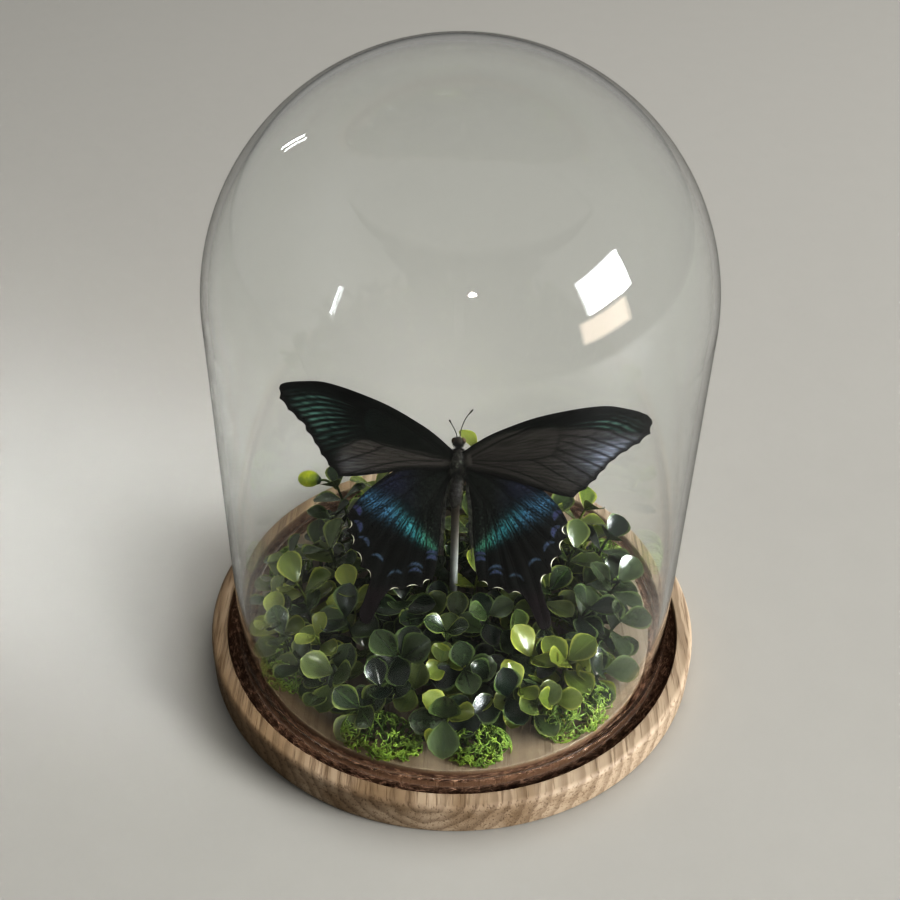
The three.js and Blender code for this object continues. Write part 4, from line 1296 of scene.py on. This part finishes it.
# blade, rim, rib
leafLooks = {
    "dark": ((0.0045, 0.010, 0.007), (0.070, 0.096, 0.035), (0.016, 0.027, 0.014)),
    "green": ((0.014, 0.027, 0.011), (0.132, 0.153, 0.046), (0.040, 0.060, 0.020)),
    "yellow": ((0.057, 0.078, 0.015), (0.200, 0.211, 0.048), (0.094, 0.115, 0.026)),
}


# A tube along the stem's curve that thins evenly to its top.
def stemSolid(top, lean):
    _, _, curve = sprigCurve(top, lean, stem["steps"])
    radii = np.linspace(*stem["taper"], stem["steps"]) * stem["radius"] * mm
    solid = tubes(curve[None] * mm, radii[None], stem["sides"])
    for key, value in (("leafTone", stem["tone"]), ("leafRim", stem["rim"])):
        solid[key] = np.full(len(solid["points"]), value)
    return solid


# Low growth between the sprigs, clear of the rod: a spiral over the plateau, each a little off its place.
low = {
    "count": 82, "reach": 60, "goldenTurn": 2.39996, "scatter": 1.2, "sway": 0.08, "clearOfRod": 7,
    "top": (15, 27), "lean": (5, 45), "uprightFrom": 50, "leaf": (8.5, 12.5), "tones": (0.58, 0.86),
    "placed": [
        ((-5, -8, 21), 10, 60, 2, 11, "dark"), ((7, -8, 20), 15, 20, 2, 10.5, "dark"),
        ((1, -15, 23), 5, 100, 2, 11, "green"), ((-30, 36, 39), 15, 20, 2, 11, "yellow"),
        ((-60, -21, 27), 15, 30, 2, 11, "yellow"), ((-50, -38, 24), 20, 70, 2, 11, "green"),
        ((-63, 2, 25), 10, 10, 2, 10, "green"), ((-9, 4, 24), 15, 40, 2, 11, "dark"),
        ((9, 6, 25), 15, 10, 2, 10.5, "yellow"), ((1, 9, 27), 10, 75, 2, 11, "dark"),
    ],
}


# The spiral steps by the golden turn, and goes out by the square root of the share of the count.
def lowSprigs():
    rows = [*low["placed"]]
    for k in range(low["count"]):
        out = low["reach"] * math.sqrt((k + 0.5) / low["count"]) + chance.normal(0, low["scatter"])
        bearing = low["goldenTurn"] * k + chance.normal(0, low["sway"])
        top = (out * math.cos(bearing), out * math.sin(bearing), chance.uniform(*low["top"]))
        if math.hypot(top[0] - rod["x"], top[1] - rod["y"]) < low["clearOfRod"]:
            continue
        pick = chance.random()
        tone = "dark" if pick < low["tones"][0] else "green" if pick < low["tones"][1] else "yellow"
        lean = chance.uniform(*low["lean"]) * (0.5 if out > low["uprightFrom"] else 1)
        rows.append((top, lean, chance.uniform(0, 180), 2, chance.uniform(*low["leaf"]), tone))
    return rows


# One piece for each tone of leaf: the low growth with one extra pair each, then the sprigs with two.
def buildSprigs():
    undergrowth = lowSprigs()
    for tone, colors in leafLooks.items():
        rows, stems = [], []
        for plants, extra in ((undergrowth, 1), (sprigs, 2)):
            for top, lean, spin, pairs, size, kind in plants:
                if kind == tone:
                    rows += sprigLeaves(top, lean, spin, pairs, size, extra)
                    stems.append(stemSolid(top, lean))
        nodes = [f"boxwood_sprig_{index + 1:02d}" for index, plant in enumerate(sprigs) if plant[-1] == tone]
        places, frames, lengths = [np.array(values) for values in zip(*rows)]
        cups, tones = chance.uniform(*leaf["cups"], len(rows)), chance.uniform(*leaf["tones"], len(rows))
        leaves = leafSolids(places, frames, lengths, cups, tones)
        material = leafMaterial(f"{tone}Leaf", *colors)
        piece = makePiece(f"{tone}Sprigs", [leaves, *stems], [material], ("leafRim", "leafTone"), sharp=60)
        settle(piece, f"{tone}_leaves", *nodes)


# A plump bud at the end of a short stalk, with a dark cup where they meet; its length runs along X.
bud = {
    "centre": (-53.3, 32, 44.7), "half": (4.1, 3.0, 3.0),
    "cup": (-50.2, 32, 44.2), "cupHalf": (1.5, 1.7, 1.7),
    "stalk": [(-43, 30, 42), (-46.5, 31.2, 44.6), (-50.2, 32, 44.2)], "stalkRadius": 0.45,
    "greenTo": -0.0512, "darkFrom": -0.0492, "pale": (0.13, 0.17, 0.010), "ripe": (0.27, 0.29, 0.020),
    "dark": (0.012, 0.024, 0.010),
}


def budMaterial():
    material, tree, shader = startMaterial("budSkin")
    tone = mottled(tree, 300.0, 1500.0)
    skin = tree.mix(tree.ramp(tone["tone"], 0.35, 0.65), bud["pale"], bud["ripe"])
    tree.fill(shader, {"Base Color": tree.mix(tree.value("cup"), skin, bud["dark"]), "Roughness": 0.3})
    bumped(tree, shader, tone["height"], 0.0001, 0.5)
    return material


# Two balls and a tube along a smooth curve.
def buildBud():
    fruit = ellipsoid(bud["centre"], bud["half"])
    cup = ellipsoid(bud["cup"], bud["cupHalf"])
    path = throughPoints(bud["stalk"], 8)
    stalk = tubes(path[None], np.full((1, len(path)), bud["stalkRadius"]), 7)
    for part, dark in ((fruit, 0.0), (cup, 1.0), (stalk, 0.8)):
        part["points"] = part["points"] * mm
        part["cup"] = np.full(len(part["points"]), dark)
    fruit["cup"] = smoothStep(bud["greenTo"], bud["darkFrom"], fruit["points"][:, 0])
    settle(makePiece("leafBud", [fruit, cup, stalk], [budMaterial()], ("cup",)), "yellow_leaves")


buildSprigs()
buildBud()
print("sprigs ready")


# Moss

moss = {
    "roots": 120, "steps": 5, "forks": 3, "twigs": 2, "wide": 1.12, "within": 0.9, "upright": 0.8,
    "outward": 1.1, "stray": 0.25, "turning": 0.75, "bend": 0.5, "share": (0.75, 1.1),
    "twigShare": (0.4, 0.62), "radius": 0.36, "thinner": 0.85, "taper": (1, 0.95, 0.9, 0.8, 0.45),
    "color": (0.070, 0.130, 0.014), "tip": (0.235, 0.315, 0.058), "dark": (0.032, 0.070, 0.012),
}
# bearing from +X, distance from the middle, half sizes along and across the rim, height
clumps = [
    (249, 62, (12, 7), 8), (278, 62, (9, 6), 8), (311, 61.5, (13, 7), 9), (208, 62, (10, 7), 8),
    (163, 63, (9, 6), 8), (22, 63, (10, 6), 9), (119, 62, (12, 7), 8),
]


def mossMaterial():
    material, tree, shader = startMaterial("mossStrand")
    tone = tree.noise(tree.place(), 260.0, 3)
    green = tree.mix(tree.value("tip"), moss["color"], moss["tip"])
    patchy = tree.mix(tree.ramp(tone, 0.4, 0.65, 0, 0.6), green, moss["dark"])
    tree.fill(shader, {"Base Color": patchy, "Roughness": 0.7})
    bumped(tree, shader, tree.noise(tree.place(), 2500.0, 2), 0.00008)
    return material


# Strands rise from the mound's foot, longest in its middle, as a ball's height. Each is straight plus a bend
# that grows with the square of the way along it, and from points on it grow two shorter ones.
# What would pass beyond the mound is drawn in to its surface.
def mossStrands(bearing, distance, half, height):
    steps, count = moss["steps"], moss["roots"]
    half = (half[0] * moss["wide"], half[1] * moss["wide"])
    spot = np.sqrt(chance.random(count))[:, None] * moss["within"] * unit(chance.normal(0, 1, (count, 2)))
    root = np.stack([spot[:, 0] * half[1], spot[:, 1] * half[0], np.zeros(count)], -1)
    rising = np.column_stack([spot * moss["outward"], np.full(count, moss["upright"])])
    heading = unit(rising + chance.normal(0, moss["stray"], (count, 3)))
    tall = height * np.sqrt(np.clip(1 - (spot**2).sum(1), 0.08, 1))
    length = tall * chance.uniform(*moss["share"], count)
    t = np.linspace(0, 1, steps)
    paths, radii, tips = [], [], []
    for level in range(moss["forks"] + 1):
        if level:
            at = chance.integers(2, steps, (len(root), moss["twigs"]))
            root = path[np.arange(len(root))[:, None], at].reshape(-1, 3)
            along = np.repeat(heading, moss["twigs"], 0)
            heading = unit(along + chance.normal(0, moss["turning"], (len(root), 3)))
            length = np.repeat(length, moss["twigs"]) * chance.uniform(*moss["twigShare"], len(root))
        bend = chance.normal(0, moss["bend"], (len(root), 3))
        path = root[:, None] + heading[:, None] * (length[:, None] * t)[..., None]
        path = path + bend[:, None] * (length[:, None] * t**2)[..., None] * 0.5
        paths.append(path)
        thick = moss["radius"] * moss["thinner"] ** level
        radii.append(np.broadcast_to(thick * np.array(moss["taper"]), (len(root), steps)))
        tips.append(np.broadcast_to((level + t) / (moss["forks"] + 1), (len(root), steps)))
    paths, radii, tips = np.concatenate(paths), np.concatenate(radii), np.concatenate(tips)
    mound = np.array([half[1] + 0.8, half[0] + 0.8, height + 0.6])
    beyond = np.linalg.norm(paths / mound, axis=-1, keepdims=True)
    paths /= np.maximum(beyond, 1)
    paths[..., 2] = np.maximum(paths[..., 2], 0.1)
    turn = math.radians(bearing)
    x = paths[..., 0] + distance
    around = np.stack([
        x * math.cos(turn) - paths[..., 1] * math.sin(turn),
        x * math.sin(turn) + paths[..., 1] * math.cos(turn),
        paths[..., 2] + plateauZ / mm,
    ], -1)
    return around, radii, tips


def buildMoss():
    material = mossMaterial()
    for index, clump in enumerate(clumps):
        paths, radii, tips = mossStrands(*clump)
        solid = tubes(paths * mm, radii * mm, 3)
        solid["tip"] = ringValues(np.repeat(tips[:, :, None], 3, 2), tips[:, [0, -1]])
        piece = makePiece(f"mossTuft{index + 1}", [solid], [material], ("tip",))
        settle(piece, "moss", f"moss_clump_{index + 1}")


buildMoss()
print("moss ready")
